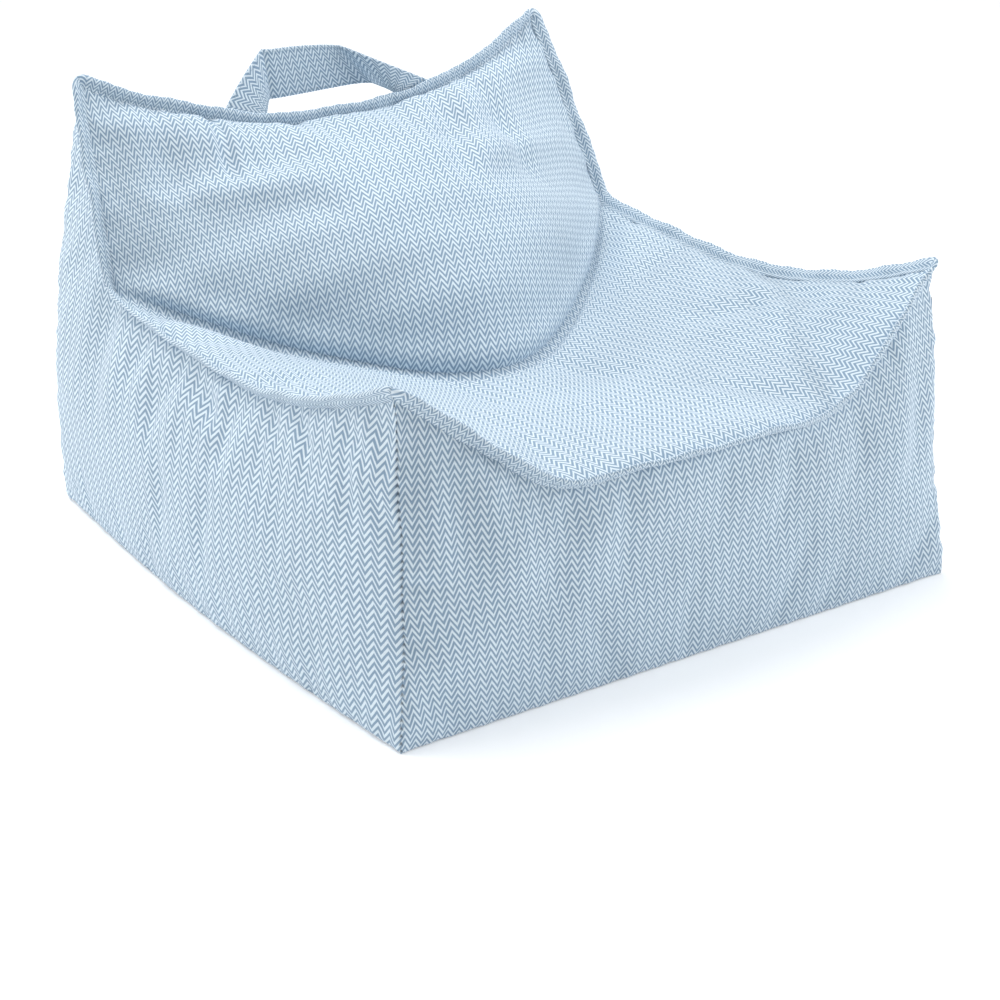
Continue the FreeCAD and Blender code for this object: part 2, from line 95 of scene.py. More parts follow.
def side_rim():
    """Right-hand rim from the front corner, along the arm and up the backrest to the ear."""
    arm, joint, ear = 297, 291, 268
    front_y, joint_y, ear_y = FRONT + 32.5, 197, REAR - 36.5
    high, dip, low, top = 304, 234, 251, 434
    rim = []
    for share, drop in ((0, 0), (0.16, 0.49), (0.35, 0.87), (0.56, 1)):
        rim.append(vec(mix(arm, joint, share), mix(front_y, joint_y, share), mix(high, dip, drop)))
    for share, rise in ((0.78, 0.24), (0.945, 0.76), (1, 1)):
        rim.append(vec(mix(arm, joint, share), mix(front_y, joint_y, share), mix(dip, low, rise)))
    for share, lean, rise in ((0.05, 0.06, 0.085), (0.3, 0.38, 0.41), (0.68, 0.75, 0.77), (1, 1, 1)):
        rim.append(vec(mix(joint, ear, share), mix(joint_y, ear_y, lean), mix(low, top, rise)))
    return rim


RIM = side_rim()


def flipped(side, point):
    return point * (side, 1, 1)


def front_rim(column):
    across = ACROSS[column]
    if abs(across) == 1:
        return flipped(across, RIM[0])
    if abs(across) > 0.6:
        x, y, z = (mix(a, b, 0.5) for a, b in zip((LOW_HALF, FRONT - REACH / 4, LOW_HEIGHT), RIM[0]))
        return vec(math.copysign(x, across), y, z)
    bend = BEND if abs(across) > 0.5 else 0
    return vec(across / 0.58 * LOW_HALF, FRONT - REACH * (1 - across * across * 2.2), LOW_HEIGHT - bend)


def top_rim(column):
    across = ACROSS[column]
    if abs(across) == 1:
        return flipped(across, RIM[-1])
    rise = abs(across) ** 2.2
    return vec(across * RIM[-1][0], mix(REAR - TOP_SETBACK, RIM[-1][1], rise),
               mix(TOP_HEIGHT, RIM[-1][2], rise))


def wall(foot, outward, rim, belly, late=LEAN_NEAR_RIM):
    foot, outward = vec(*foot, 0), vec(*outward, 0)
    column = [foot - outward * FOOT_CURL]
    flare = outward * (FOOT_FLARE if outward[0] and outward[1] < 0 else 0)
    for level in range(4):
        column.append(foot - flare * (level / 3) + (0, 0, FOOT_HEIGHT + level * (UPRIGHT - FOOT_HEIGHT) / 3))
    foot = foot - flare
    lean = (rim - foot) * (1, 1, 0)
    for share in (0.3, 0.6, 0.85):
        place = foot + lean * share**late + outward * belly * math.sin(math.pi * share)
        column.append(place + (0, 0, mix(UPRIGHT, rim[2], share)))
    return column + [rim]


def end_net(y, sign, rim_of, swell):
    """The front or the rear wall."""
    net = []
    for column, across in enumerate(ACROSS):
        corner = abs(across) == 1
        outward = (across if corner else 0, sign)
        half = HALF_WIDTH if sign < 0 else REAR_HALF
        net.append(wall((across * half, y), outward, rim_of(column), 0 if corner else swell))
    return net


def side_foot(row):
    share = SIDE_FOOT[row]
    straight = mix(HALF_WIDTH, REAR_HALF, share)
    return straight + SIDE_SWELL * math.sin(math.pi * share), mix(FRONT, REAR, share)


def side_net(side):
    net = []
    for row in range(ROWS):
        x, y = side_foot(row)
        end = {0: -1, ROWS - 1: 1}.get(row, 0)
        late = LEAN_EVENLY if CREASE_ROW < row < ROWS - 1 else LEAN_NEAR_RIM
        net.append(wall((side * x, y), (side, end), flipped(side, RIM[row]), 0 if end else 4, late))
    return net


def inner_net():
    """Seat and backrest in one panel: rows from the front rim to the top edge."""
    net = []
    for column, across in enumerate(ACROSS):
        if abs(across) == 1:
            net.append([flipped(across, point) for point in RIM])
            continue
        front, top = front_rim(column), top_rim(column)
        x, y, z = RIM[CREASE_ROW]
        crease = vec(across * x, mix(CREASE_PLACE, y, abs(across) ** 1.5), mix(CREASE_HEIGHT, z, across**2))
        fullness = 1 - across * across
        poles = [front]
        for share in (0.1, 0.32, 0.58, 0.8, 0.94):
            crown = SEAT_CROWN * fullness * math.sin(math.pi * min(1, share * 1.6))
            drop = (front[2] - crease[2]) * 0.35 * math.sin(math.pi * share) * abs(across)
            poles.append(front + (crease - front) * share + (0, 0, crown - drop))
        poles.append(crease)
        for share, swell in ((0.1, 0.6), (0.42, 1), (0.78, 0.5)):
            belly = vec(0, -0.64, 0.77) * BACK_SWELL * fullness**0.8 * swell
            poles.append(crease + (top - crease) * share + belly)
        net.append(poles + [top])
    return net


def base_net():
    net = []
    for across in ACROSS:
        column = []
        for row in range(ROWS):
            x, y = side_foot(row)
            end = {0: -1, ROWS - 1: 1}.get(row, 0)
            column.append(vec(across * (x - FOOT_CURL), y - end * FOOT_CURL, 0))
        net.append(column)
    return net


NETS = {
    "front": end_net(FRONT, -1, front_rim, FRONT_SWELL),
    "rear": end_net(REAR, 1, top_rim, REAR_SWELL),
    "left": side_net(-1),
    "right": side_net(1),
    "inner": inner_net(),
    "base": base_net(),
}
NETS = {name: np.array(net) * MM for name, net in NETS.items()}
# The sign that turns the cross product of a panel's two directions outwards.
OUTWARD = {"front": 1, "rear": -1, "left": -1, "right": 1, "inner": 1, "base": -1}


def basis(count, params):
    """Weights of a clamped uniform cubic's poles, one row for each parameter from 0 to 1."""
    spans = count - 3
    knots = np.concatenate([[0] * 3, np.arange(spans + 1), [spans] * 3]).astype(float)
    x = np.minimum(np.clip(params, 0, 1) * spans, spans - 1e-9)
    weights = ((x[:, None] >= knots[:-1]) & (x[:, None] < knots[1:])).astype(float)
    for degree in (1, 2, 3):
        rising = knots[degree:-1] - knots[: -1 - degree]
        falling = knots[degree + 1 :] - knots[1:-degree]
        up = np.divide(x[:, None] - knots[: -1 - degree], rising, out=np.zeros((len(x), len(rising))),
                       where=rising > 0)
        down = np.divide(knots[degree + 1 :] - x[:, None], falling, out=np.zeros((len(x), len(falling))),
                         where=falling > 0)
        weights = up * weights[:, :-1] + down * weights[:, 1:]
    return weights


def unit(v):
    return v / np.maximum(np.linalg.norm(v, axis=-1, keepdims=True), 1e-12)


def lengths(points):
    """Distance along a run of points."""
    steps = np.linalg.norm(np.diff(points, axis=0), axis=1)
    return np.concatenate([[0], np.cumsum(steps)])


def stations(length, fine, coarse, margin, multiple=1):
    """Shares of a length, closer together near both ends."""
    s = np.linspace(0, length, 4001)
    step = fine + (coarse - fine) * np.clip(np.minimum(s, length - s) / margin, 0, 1)
    count = np.concatenate([[0], np.cumsum(np.diff(s) * (1 / step[1:] + 1 / step[:-1]) / 2)])
    steps = max(multiple, int(round(count[-1] / multiple)) * multiple)
    return np.interp(np.linspace(0, count[-1], steps + 1), count, s) / length


DENSE = np.linspace(0, 1, 2001)
GUIDES = {
    "across": basis(9, DENSE) @ (NETS["front"][:, 2]),
    "along": basis(11, DENSE) @ (NETS["right"][:, 8]),
    "up": basis(9, DENSE) @ (NETS["rear"][4]),
}
DIRECTIONS = {
    "front": ("across", "up"), "rear": ("across", "up"), "left": ("along", "up"),
    "right": ("along", "up"), "inner": ("across", "along"), "base": ("across", "along"),
}


def params_of(direction, shares):
    """Surface parameters at even shares of that direction's guide line."""
    run = lengths(GUIDES[direction])
    return np.interp(shares * run[-1], run, DENSE)


def sampled(name, shares):
    u, v = DIRECTIONS[name]
    net = NETS[name]
    first = basis(net.shape[0], params_of(u, shares[u]))
    second = basis(net.shape[1], params_of(v, shares[v]))
    return np.einsum("iu,uvc,jv->ijc", first, net, second)


def normals(points, sign=1):
    du, dv = np.gradient(points, axis=0), np.gradient(points, axis=1)
    return unit(np.cross(du, dv)) * sign


# ---------------------------------------------------------------------------------------------
# Mesh helpers
# ---------------------------------------------------------------------------------------------
def make_mesh(name, points, faces, maps=None, smooth=True):
    """A mesh from points and faces; maps is {uv name: (len(loops), 2)}."""
    mesh = bpy.data.meshes.new(name)
    sizes = np.fromiter((len(f) for f in faces), int, len(faces))
    loops = np.concatenate([np.asarray(f, int) for f in faces]) if len(faces) else np.zeros(0, int)
    mesh.vertices.add(len(points))
    mesh.vertices.foreach_set("co", np.ascontiguousarray(points, np.float32).ravel())
    mesh.loops.add(len(loops))
    mesh.loops.foreach_set("vertex_index", loops.astype(np.int32))
    mesh.polygons.add(len(sizes))
    mesh.polygons.foreach_set("loop_start", np.concatenate([[0], np.cumsum(sizes)[:-1]]).astype(np.int32))
    mesh.polygons.foreach_set("use_smooth", np.full(len(sizes), smooth))
    mesh.update(calc_edges=True)
    for key, values in (maps or {}).items():
        layer = mesh.uv_layers.new(name=key)
        layer.data.foreach_set("uv", np.ascontiguousarray(values, np.float32).ravel())
    return mesh


def place(name, mesh, material, body="bag", slot="cover_fabric", replaces=(), pad=None):
    piece = bpy.data.objects.new(name, mesh)
    bpy.context.scene.collection.objects.link(piece)
    piece.data.materials.append(material)
    if body:
        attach(piece, body)
    if replaces:
        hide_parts(*replaces)
    return piece


def grid_quads(rows, columns, start=0, flip=False):
    i, j = np.meshgrid(np.arange(rows - 1), np.arange(columns - 1), indexing="ij")
    a = (start + i * columns + j).ravel()
    quads = np.stack([a, a + columns, a + columns + 1, a + 1], axis=1)
    return quads[:, ::-1] if flip else quads


def arc_grid(points, axis, origin):
    """Arc length along an axis of a grid, measured from the index origin."""
    steps = np.linalg.norm(np.diff(points, axis=axis), axis=2)
    pad = [(0, 0), (0, 0)]
    pad[axis] = (1, 0)
    run = np.pad(np.cumsum(steps, axis=axis), pad)
    return run - np.take(run, [origin], axis=axis)


def shell(name, outer, sign, weave, thickness=1.6 * MM, stride=4, edges=None):
    """A closed thin cloth shell on a grid of outer points: a fine outer face, a coarser inner one."""
    rows, columns = outer.shape[:2]
    inner = (outer - normals(outer, sign)[:, :] * thickness)[::stride, ::stride]
    n_outer = rows * columns
    in_rows, in_columns = inner.shape[:2]
    points = np.concatenate([outer.reshape(-1, 3), inner.reshape(-1, 3)])
    outer_quads = grid_quads(rows, columns, 0, sign < 0)
    inner_quads = grid_quads(in_rows, in_columns, n_outer, sign > 0)
    su = np.linspace(0, 1, rows)[:, None] + np.zeros((rows, columns))
    sv = np.linspace(0, 1, columns)[None, :] + np.zeros((rows, columns))
    flat = np.stack([su, sv * 0.93], axis=2).reshape(-1, 2)
    flat_inner = np.stack([su[::stride, ::stride] * 0.2, 0.95 + sv[::stride, ::stride] * 0.05],
                          axis=2).reshape(-1, 2)
    bake = np.concatenate([flat, flat_inner])
    weave_all = np.concatenate([weave.reshape(-1, 2), weave[::stride, ::stride].reshape(-1, 2)])
    faces = list(outer_quads) + list(inner_quads)
    outer_index = np.arange(n_outer).reshape(rows, columns)
    inner_index = n_outer + np.arange(in_rows * in_columns).reshape(in_rows, in_columns)
    runs = [
        (outer_index[:, 0], inner_index[:, 0], sign > 0), (outer_index[:, -1], inner_index[:, -1], sign < 0),
        (outer_index[0], inner_index[0], sign < 0), (outer_index[-1], inner_index[-1], sign > 0),
    ]
    strip_uv = []
    for band, (fine, coarse, flip) in enumerate(runs):
        low = 0.945 + 0.013 * band
        for k in range(len(coarse) - 1):
            face = list(fine[k * stride : (k + 1) * stride + 1]) + [coarse[k + 1], coarse[k]]
            left, right = (mix(0.25, 0.95, q / (len(coarse) - 1)) for q in (k, k + 1))
            uv = [(mix(left, right, q / stride), low) for q in range(stride + 1)]
            uv += [(right, low + 0.008), (left, low + 0.008)]
            if flip:
                face, uv = face[::-1], uv[::-1]
            faces.append(face)
            strip_uv += uv
    loops = np.concatenate([outer_quads.ravel(), inner_quads.ravel()])
    strip_loops = np.concatenate([np.asarray(f) for f in faces[len(outer_quads) + len(inner_quads) :]])
    maps = {
        "OFBake": np.concatenate([bake[loops], np.array(strip_uv)]),
        "Weave": weave_all[np.concatenate([loops, strip_loops])],
    }
    if edges is not None:
        edge_all = np.concatenate([edges.reshape(-1, 2), edges[::stride, ::stride].reshape(-1, 2)])
        maps["Edge"] = edge_all[np.concatenate([loops, strip_loops])]
    return make_mesh(name, points, faces, maps)


def sweep(name, centres, ups, sides, section):
    """A closed body swept along centres.
    section is one outline of (along ups, along sides) pairs, or one for each centre."""
    section = section if section.ndim == 3 else section[None]
    count, ring = len(centres), section.shape[1]
    points = centres[:, None] + ups[:, None] * section[..., :1] + sides[:, None] * section[..., 1:]
    run = lengths(centres)
    middle = section[len(section) // 2]
    around = lengths(np.concatenate([middle, middle[:1]]))
    faces, weave, bake = [], [], []
    for i in range(count - 1):
        for k in range(ring):
            n = (k + 1) % ring
            faces.append((i * ring + k, i * ring + n, (i + 1) * ring + n, (i + 1) * ring + k))
            for row, col in ((i, k), (i, k + 1), (i + 1, k + 1), (i + 1, k)):
                weave.append((run[row], around[col]))
                bake.append((run[row] / run[-1] * 0.96, around[col] / around[-1]))
    for base, order in ((0, range(ring - 1, -1, -1)), ((count - 1) * ring, range(ring))):
        faces.append(tuple(base + k for k in order))
        for k in order:
            angle = 2 * math.pi * k / ring
            weave.append((run[-1 if base else 0], around[k]))
            bake.append((0.98 + 0.012 * math.cos(angle), (0.75 if base else 0.25) + 0.2 * math.sin(angle)))
    return make_mesh(name, points.reshape(-1, 3), faces, {"OFBake": np.array(bake), "Weave": np.array(weave)})


def scattered(name, points, faces, frames):
    """Copies of a small body: frames is (n, 4, 3) with place, then its three axes."""
    points, count = np.asarray(points, float), len(points)
    all_points = frames[:, None, 0] + np.einsum("pk,nkc->npc", points, frames[:, 1:])
    all_faces = []
    for k in range(len(frames)):
        all_faces += [tuple(v + k * count for v in face) for face in faces]
    return make_mesh(name, all_points.reshape(-1, 3), all_faces)


def lofted(rings):
    """A closed body through rings of the same number of points."""
    rings = np.array(rings)
    count, ring = rings.shape[:2]
    faces = []
    for r in range(count - 1):
        for k in range(ring):
            n = (k + 1) % ring
            faces.append((r * ring + k, r * ring + n, (r + 1) * ring + n, (r + 1) * ring + k))
    faces.append(tuple(range(ring))[::-1])
    faces.append(tuple((count - 1) * ring + k for k in range(ring)))
    return rings.reshape(-1, 3), faces


def capsule(length, radius, sides=6):
    """A short stitch along X: a round-ended rod."""
    end, shoulder = length / 2, length / 2 - radius * 0.6
    angles = [2 * math.pi * k / sides for k in range(sides)]
    return lofted([
        [(x, radius * share * math.cos(angle), radius * share * math.sin(angle)) for angle in angles]
        for x, share in ((-end, 0.35), (-shoulder, 0.85), (0, 1.0), (shoulder, 0.85), (end, 0.35))
    ])


# ---------------------------------------------------------------------------------------------
# Materials
# ---------------------------------------------------------------------------------------------
def linear(r, g, b):
    """Scene colour of an sRGB colour given as 0-255."""
    def one(c):
        c /= 255
        return c / 12.92 if c <= 0.04045 else ((c + 0.055) / 1.055) ** 2.4
    return one(r), one(g), one(b), 1.0


class Graph:
    """Short hand for building a node material."""

    def __init__(self, name):
        self.material = bpy.data.materials.new(name)
        self.material.use_nodes = True
        self.tree = self.material.node_tree
        self.shader = self.tree.nodes["Principled BSDF"]

    def node(self, kind, **values):
        made = self.tree.nodes.new(kind)
        for key, value in values.items():
            setattr(made, key, value)
        return made

    def feed(self, socket, value):
        if isinstance(value, bpy.types.NodeSocket):
            self.tree.links.new(value, socket)
        else:
            socket.default_value = value

    def math(self, operation, *inputs, clamp=False):
        made = self.node("ShaderNodeMath", operation=operation, use_clamp=clamp)
        for socket, value in zip(made.inputs, inputs):
            self.feed(socket, value)
        return made.outputs[0]

    def ramp(self, value, low, high, to_low=0.0, to_high=1.0):
        made = self.node("ShaderNodeMapRange", interpolation_type="SMOOTHSTEP")
        for key, given in zip(("Value", "From Min", "From Max", "To Min", "To Max"),
                              (value, low, high, to_low, to_high)):
            self.feed(made.inputs[key], given)
        return made.outputs["Result"]

    def mix(self, factor, a, b, blend="MIX"):
        made = self.node("ShaderNodeMix", data_type="RGBA", blend_type=blend)
        self.feed(made.inputs["Factor"], factor)
        self.feed(made.inputs["A"], a)
        self.feed(made.inputs["B"], b)
        return made.outputs["Result"]

    def uv(self, name):
        made = self.node("ShaderNodeUVMap", uv_map=name)
        split = self.node("ShaderNodeSeparateXYZ")
        self.tree.links.new(made.outputs["UV"], split.inputs[0])
        return made.outputs["UV"], split.outputs["X"], split.outputs["Y"]

    def place(self):
        return self.node("ShaderNodeTexCoord").outputs["Object"]

    def flat(self):
        """Object coordinates, for a part that carries no map."""
        vector = self.place()
        split = self.node("ShaderNodeSeparateXYZ")
        self.tree.links.new(vector, split.inputs[0])
        return vector, split.outputs["X"], self.math("ADD", split.outputs["Y"], split.outputs["Z"])

    def noise(self, vector, scale, detail=2.0, rough=0.5, stretch=None):
        if stretch:
            scaled = self.node("ShaderNodeMapping")
            self.tree.links.new(vector, scaled.inputs["Vector"])
            scaled.inputs["Scale"].default_value = stretch
            vector = scaled.outputs[0]
        made = self.node("ShaderNodeTexNoise")
        self.tree.links.new(vector, made.inputs["Vector"])
        made.inputs["Scale"].default_value = scale
        made.inputs["Detail"].default_value = detail
        made.inputs["Roughness"].default_value = rough
        return made.outputs["Fac"]

    def finish(self, colour, height, roughness=0.8, sheen=0.0, distance=0.001, strength=1.0, metallic=0.0):
        self.feed(self.shader.inputs["Base Color"], colour)
        self.feed(self.shader.inputs["Roughness"], roughness)
        self.shader.inputs["Sheen Weight"].default_value = sheen
        self.shader.inputs["Sheen Roughness"].default_value = 0.5
        self.shader.inputs["Metallic"].default_value = metallic
        if height is not None:
            bump = self.node("ShaderNodeBump")
            bump.inputs["Strength"].default_value = strength
            bump.inputs["Distance"].default_value = distance
            self.tree.links.new(height, bump.inputs["Height"])
            self.tree.links.new(bump.outputs[0], self.shader.inputs["Normal"])
        return self.material


PALE = linear(220, 232, 240)
BLUE = linear(131, 156, 179)
COLUMN, STROKE, SLOPE = 5.5 * MM, 7.1 * MM, 1.75


def herringbone(name, turned=False, edge=False, fine=1.0):
    """Two-yarn herringbone cloth. It reads the Weave map in metres: columns lie along its second axis."""
    g = Graph(name)
    vector, u, v = g.uv("Weave")
    if turned:
        u, v = v, u
    if fine != 1.0:
        u, v = g.math("MULTIPLY", u, fine), g.math("MULTIPLY", v, fine)
    lean = g.math("PINGPONG", u, COLUMN)
    drift = g.math("MULTIPLY", g.math("SUBTRACT", g.noise(vector, 220, 1.0), 0.5), 0.9 * MM)
    phase = g.math("DIVIDE", g.math("ADD", g.math("ADD", v, g.math("MULTIPLY", lean, SLOPE)), drift), STROKE)
    wave = g.math("PINGPONG", g.math("ADD", phase, 100.0), 0.5)
    falling = g.math("GREATER_THAN",
                     g.math("FRACT", g.math("DIVIDE", g.math("ADD", u, 20 * COLUMN), COLUMN * 2)), 0.5)
    level = g.math("ADD", 0.235, g.math("MULTIPLY", falling, 0.07))
    soft = g.math("ADD", 0.07, g.math("MULTIPLY", falling, 0.03))
    white = g.ramp(wave, g.math("SUBTRACT", level, soft), g.math("ADD", level, soft))
    # single yarns across the strokes, and a fuzz of loose fibre
    yarn = g.noise(vector, 1.0, 2.0, 0.6, (900, 2600, 1) if not turned else (2600, 900, 1))
    fuzz = g.noise(vector, 900, 3.0, 0.7)
    mottle = g.noise(g.place(), 9.0, 3.0, 0.6)
    blotch = g.math("ADD", 0.93, g.math("MULTIPLY", mottle, 0.14))
    broken = g.math("MULTIPLY", white, g.ramp(yarn, 0.28, 0.5, 0.72, 1.0), clamp=True)
    lifted = g.math("ADD", broken, g.math("MULTIPLY", g.math("SUBTRACT", fuzz, 0.5), 0.22), clamp=True)
    colour = g.mix(lifted, BLUE, PALE)
    shade = g.node("ShaderNodeCombineColor")
    for socket in shade.inputs:
        g.tree.links.new(blotch, socket)
    colour = g.mix(1.0, colour, shade.outputs[0], "MULTIPLY")
    height = g.math("ADD", g.math("MULTIPLY", white, 0.34), g.math("MULTIPLY", yarn, 0.3))
    height = g.math("ADD", height, g.math("MULTIPLY", fuzz, 0.16))
    if edge:
        # the ladder of stitch holes beside the upright seams, dented into the bump, with painted shade: the
        # colour darkens in each hole
        _, du, _ = g.uv("Edge")
        near = g.ramp(du, 0.4 * MM, 2.6 * MM, 1.0, 0.0)
        ladder = g.math("FRACT", g.math("DIVIDE", g.math("ADD", v, g.math("MULTIPLY", du, 1.1)), 7.2 * MM))
        hole = g.math("MULTIPLY", near,
                      g.ramp(g.math("ABSOLUTE", g.math("SUBTRACT", ladder, 0.5)), 0.1, 0.24, 1.0, 0.0))
        # painted shade: each stitch hole is darkened in the colour
        colour = g.mix(g.math("MULTIPLY", hole, 0.75), colour, linear(70, 84, 98))
        pucker = g.math("MULTIPLY", g.ramp(du, 0.0, 9 * MM, 1.0, 0.0), g.math("PINGPONG", ladder, 0.5))
        height = g.math("ADD", height, g.math("MULTIPLY", pucker, 1.6))
        height = g.math("SUBTRACT", height, g.math("MULTIPLY", hole, 1.4))
    return g.finish(colour, height, 0.78, 0.12, 0.35 * MM, 0.9)


def plain_weave(name, base, pitch, height_mm=0.12, space="Weave", sheen=0.1):
    """A fine plain weave in one colour."""
    g = Graph(name)
    vector, u, v = g.uv(space) if space else g.flat()
    warp = g.math("SINE", g.math("MULTIPLY", u, 2 * math.pi / pitch))
    weft = g.math("SINE", g.math("MULTIPLY", v, 2 * math.pi / pitch))
    weave = g.math("MULTIPLY", warp, weft)
    fuzz = g.noise(vector, 700, 3.0, 0.7)
    mottle = g.noise(g.place(), 14.0, 3.0, 0.6)
    tone = g.math("ADD", g.math("MULTIPLY", weave, 0.12),
                  g.math("MULTIPLY", g.math("ADD", fuzz, mottle), 0.35))
    dark = tuple(c * 0.7 for c in base[:3]) + (1.0,)
    colour = g.mix(g.ramp(tone, 0.1, 0.6), dark, base)
    height = g.math("ADD", weave, g.math("MULTIPLY", fuzz, 0.5))
    return g.finish(colour, height, 0.85, sheen, height_mm * MM, 0.8)


def thread(name, base):
    """Twisted sewing thread."""
    g = Graph(name)
    twist = g.noise(g.place(), 2600, 2.0, 0.6)
    dark = tuple(c * 0.72 for c in base[:3]) + (1.0,)
    return g.finish(g.mix(twist, dark, base), twist, 0.55, 0.15, 0.1 * MM, 0.7)


def moulded(name, base, roughness=0.4):
    """Polyester monofilament: smooth, with a faint haze."""
    g = Graph(name)
    haze = g.noise(g.place(), 300, 3.0, 0.6)
    dark = tuple(c * 0.86 for c in base[:3]) + (1.0,)
    rough = g.ramp(haze, 0.2, 0.8, roughness - 0.06, roughness + 0.1)
    return g.finish(g.mix(haze, dark, base), haze, rough, 0.0, 0.05 * MM, 0.4)


def plated(name, base=(0.62, 0.63, 0.65, 1.0)):
    """Satin nickel plate: brushed, with small scuffs."""
    g = Graph(name)
    brushed = g.noise(g.place(), 1.0, 3.0, 0.6, (500, 4000, 4000))
    scuff = g.noise(g.place(), 420, 4.0, 0.7)
    dark = tuple(c * 0.62 for c in base[:3]) + (1.0,)
    colour = g.mix(g.ramp(scuff, 0.3, 0.62), dark, base)
    return g.finish(colour, brushed, g.ramp(scuff, 0.25, 0.75, 0.42, 0.24), 0.0, 0.03 * MM, 0.35, 1.0)


def beads(name):
    """Expanded polystyrene beads packed behind the liner."""
    g = Graph(name)
    cells = g.node("ShaderNodeTexVoronoi", feature="F1")
    g.tree.links.new(g.place(), cells.inputs["Vector"])
    cells.inputs["Scale"].default_value = 210
    # each bead is white in its middle, with painted shade grey in the gaps between beads; the same dome is
    # the bump
    dome_and_gap_shade = g.ramp(cells.outputs["Distance"], 0.0, 0.75, 1.0, 0.0)
    colour = g.mix(dome_and_gap_shade, linear(180, 184, 188), linear(248, 249, 250))
    return g.finish(colour, dome_and_gap_shade, 0.7, 0.0, 1.6 * MM, 1.0)


COVER = herringbone("cover_herringbone")
COVER_WALL = herringbone("cover_herringbone_wall", edge=True)
COVER_TURNED = herringbone("cover_herringbone_turned", turned=True, fine=1.4)
COVER_ALONG = herringbone("cover_herringbone_flange", fine=1.4)
COVER_STRAP = herringbone("cover_herringbone_strap", fine=1.15)
BASE_CLOTH = plain_weave("base_cloth", linear(150, 172, 192), 0.9 * MM, 0.2)
TAPE = plain_weave("zip_tape_cloth", linear(158, 180, 198), 0.7 * MM, 0.15)
TAPE_FLAT = plain_weave("zip_tape_flat", linear(158, 180, 198), 0.7 * MM, 0.15, space=None)
LINER = plain_weave("liner_cloth", linear(238, 238, 234), 1.1 * MM, 0.1, space=None)
THREAD = thread("sewing_thread", linear(176, 198, 214))
COIL = moulded("zip_coil", linear(176, 194, 208))
NICKEL = plated("satin_nickel")
BEADS = beads("foam_beads")

# ---------------------------------------------------------------------------------------------
# The cover: panels sampled finely, swollen by a cloth simulation, with drawn-in seams and folds
# ---------------------------------------------------------------------------------------------
RUNS = {key: lengths(guide)[-1] for key, guide in GUIDES.items()}
COARSE = {key: np.linspace(0, 1, int(run / (9 * MM)) + 1) for key, run in RUNS.items()}
FINE = {key: stations(run, 1.5 * MM, 3.0 * MM, 30 * MM, 4) for key, run in RUNS.items()}
# Which borders are sewn together: u0 and u1 are a panel's first and last column, v0 and v1 its rows' ends.
SEAMS = [
    ("front", "u0", "left", "u0", 3.2), ("front", "u1", "right", "u0", 3.2),
    ("rear", "u0", "left", "u1", 2.4),
    ("rear", "u1", "right", "u1", 2.4), ("front", "v1", "inner", "v0", 2.6),
    ("rear", "v1", "inner", "v1", 2.6),
    ("left", "v1", "inner", "u0", 2.6), ("right", "v1", "inner", "u1", 2.6),
    ("front", "v0", "base", "v0", 1.2),
    ("rear", "v0", "base", "v1", 1.2), ("left", "v0", "base", "u0", 1.2), ("right", "v0", "base", "u1", 1.2),
]
WAVES = [
    (unit(RNG.normal(size=3)) * 2 * math.pi / (length * MM), RNG.uniform(0, 6.28),
     unit(RNG.normal(size=3)) / 5**0.5)
    for length in (55, 75, 95, 130, 180)
]


def wobble(points, size=1.5 * MM):
    """Slow waviness, the same for every piece at the same place. It fades out at the floor."""
    moved = sum(way * np.sin(points @ number + phase)[..., None] for number, phase, way in WAVES)
    return moved * size * np.clip(points[..., 2:3] / (60 * MM), 0, 1)


def border(grid, key):
    return {"u0": grid[0], "u1": grid[-1], "v0": grid[:, 0], "v1": grid[:, -1]}[key]


def welded(grids):
    """One closed skin from the panels: its points, its faces, and each grid point's place in it."""
    flat = np.concatenate([grid.reshape(-1, 3) for grid in grids.values()])
    keys = np.round(flat / (0.1 * MM) + 0.137).astype(int)
    _, first, back = np.unique(keys, axis=0, return_index=True, return_inverse=True)
    back, quads, start = back.ravel(), [], 0
    for name, grid in grids.items():
        rows, columns = grid.shape[:2]
        quads.append(back[grid_quads(rows, columns, start, OUTWARD[name] < 0)])
        start += rows * columns
    return flat[first], np.concatenate(quads), back


def swollen(grids):
    """Cloth simulation of the closed cover: its seams and base are held, and the fill presses outwards."""
    points, quads, back = welded(grids)
    held, start = np.zeros(len(points)), 0
    for name, grid in grids.items():
        rows, columns = grid.shape[:2]
        weight = np.full((rows, columns), 1.0 if name == "base" else 0.0)
        for key in ("u0", "u1", "v0", "v1"):
            border(weight, key)[...] = 1.0
        np.maximum.at(held, back[start : start + rows * columns], weight.ravel())
        start += rows * columns
    mesh = make_mesh("swelling", points, quads)
    trial = bpy.data.objects.new("swelling", mesh)
    bpy.context.scene.collection.objects.link(trial)
    group = trial.vertex_groups.new(name="held")
    group.add(np.flatnonzero(held > 0.5).tolist(), 1.0, "REPLACE")
    cloth = trial.modifiers.new("cloth", "CLOTH")
    how = cloth.settings
    how.quality, how.mass, how.air_damping = 6, 0.25, 2.0
    how.tension_stiffness = how.compression_stiffness = 25
    how.shear_stiffness, how.bending_stiffness = 12, 1.2
    how.use_pressure, how.uniform_pressure_force = True, 4.0
    how.shrink_min = -0.012
    how.vertex_group_mass = "held"
    how.effector_weights.gravity = 0
    cloth.collision_settings.use_collision = False
    cloth.point_cache.frame_start, cloth.point_cache.frame_end = 1, 20
    scene = bpy.context.scene
    for step in range(1, 21):
        scene.frame_set(step)
    moved = trial.evaluated_get(bpy.context.evaluated_depsgraph_get()).to_mesh()
    after = np.empty(len(points) * 3, np.float32)
    moved.vertices.foreach_get("co", after)
    scene.frame_set(1)
    bpy.data.objects.remove(trial)
    bpy.data.meshes.remove(mesh)
    change, result, start = (after.reshape(-1, 3) - points)[back], {}, 0
    for name, grid in grids.items():
        rows, columns = grid.shape[:2]
        result[name] = change[start : start + rows * columns].reshape(rows, columns, 3)
        start += rows * columns
    return result


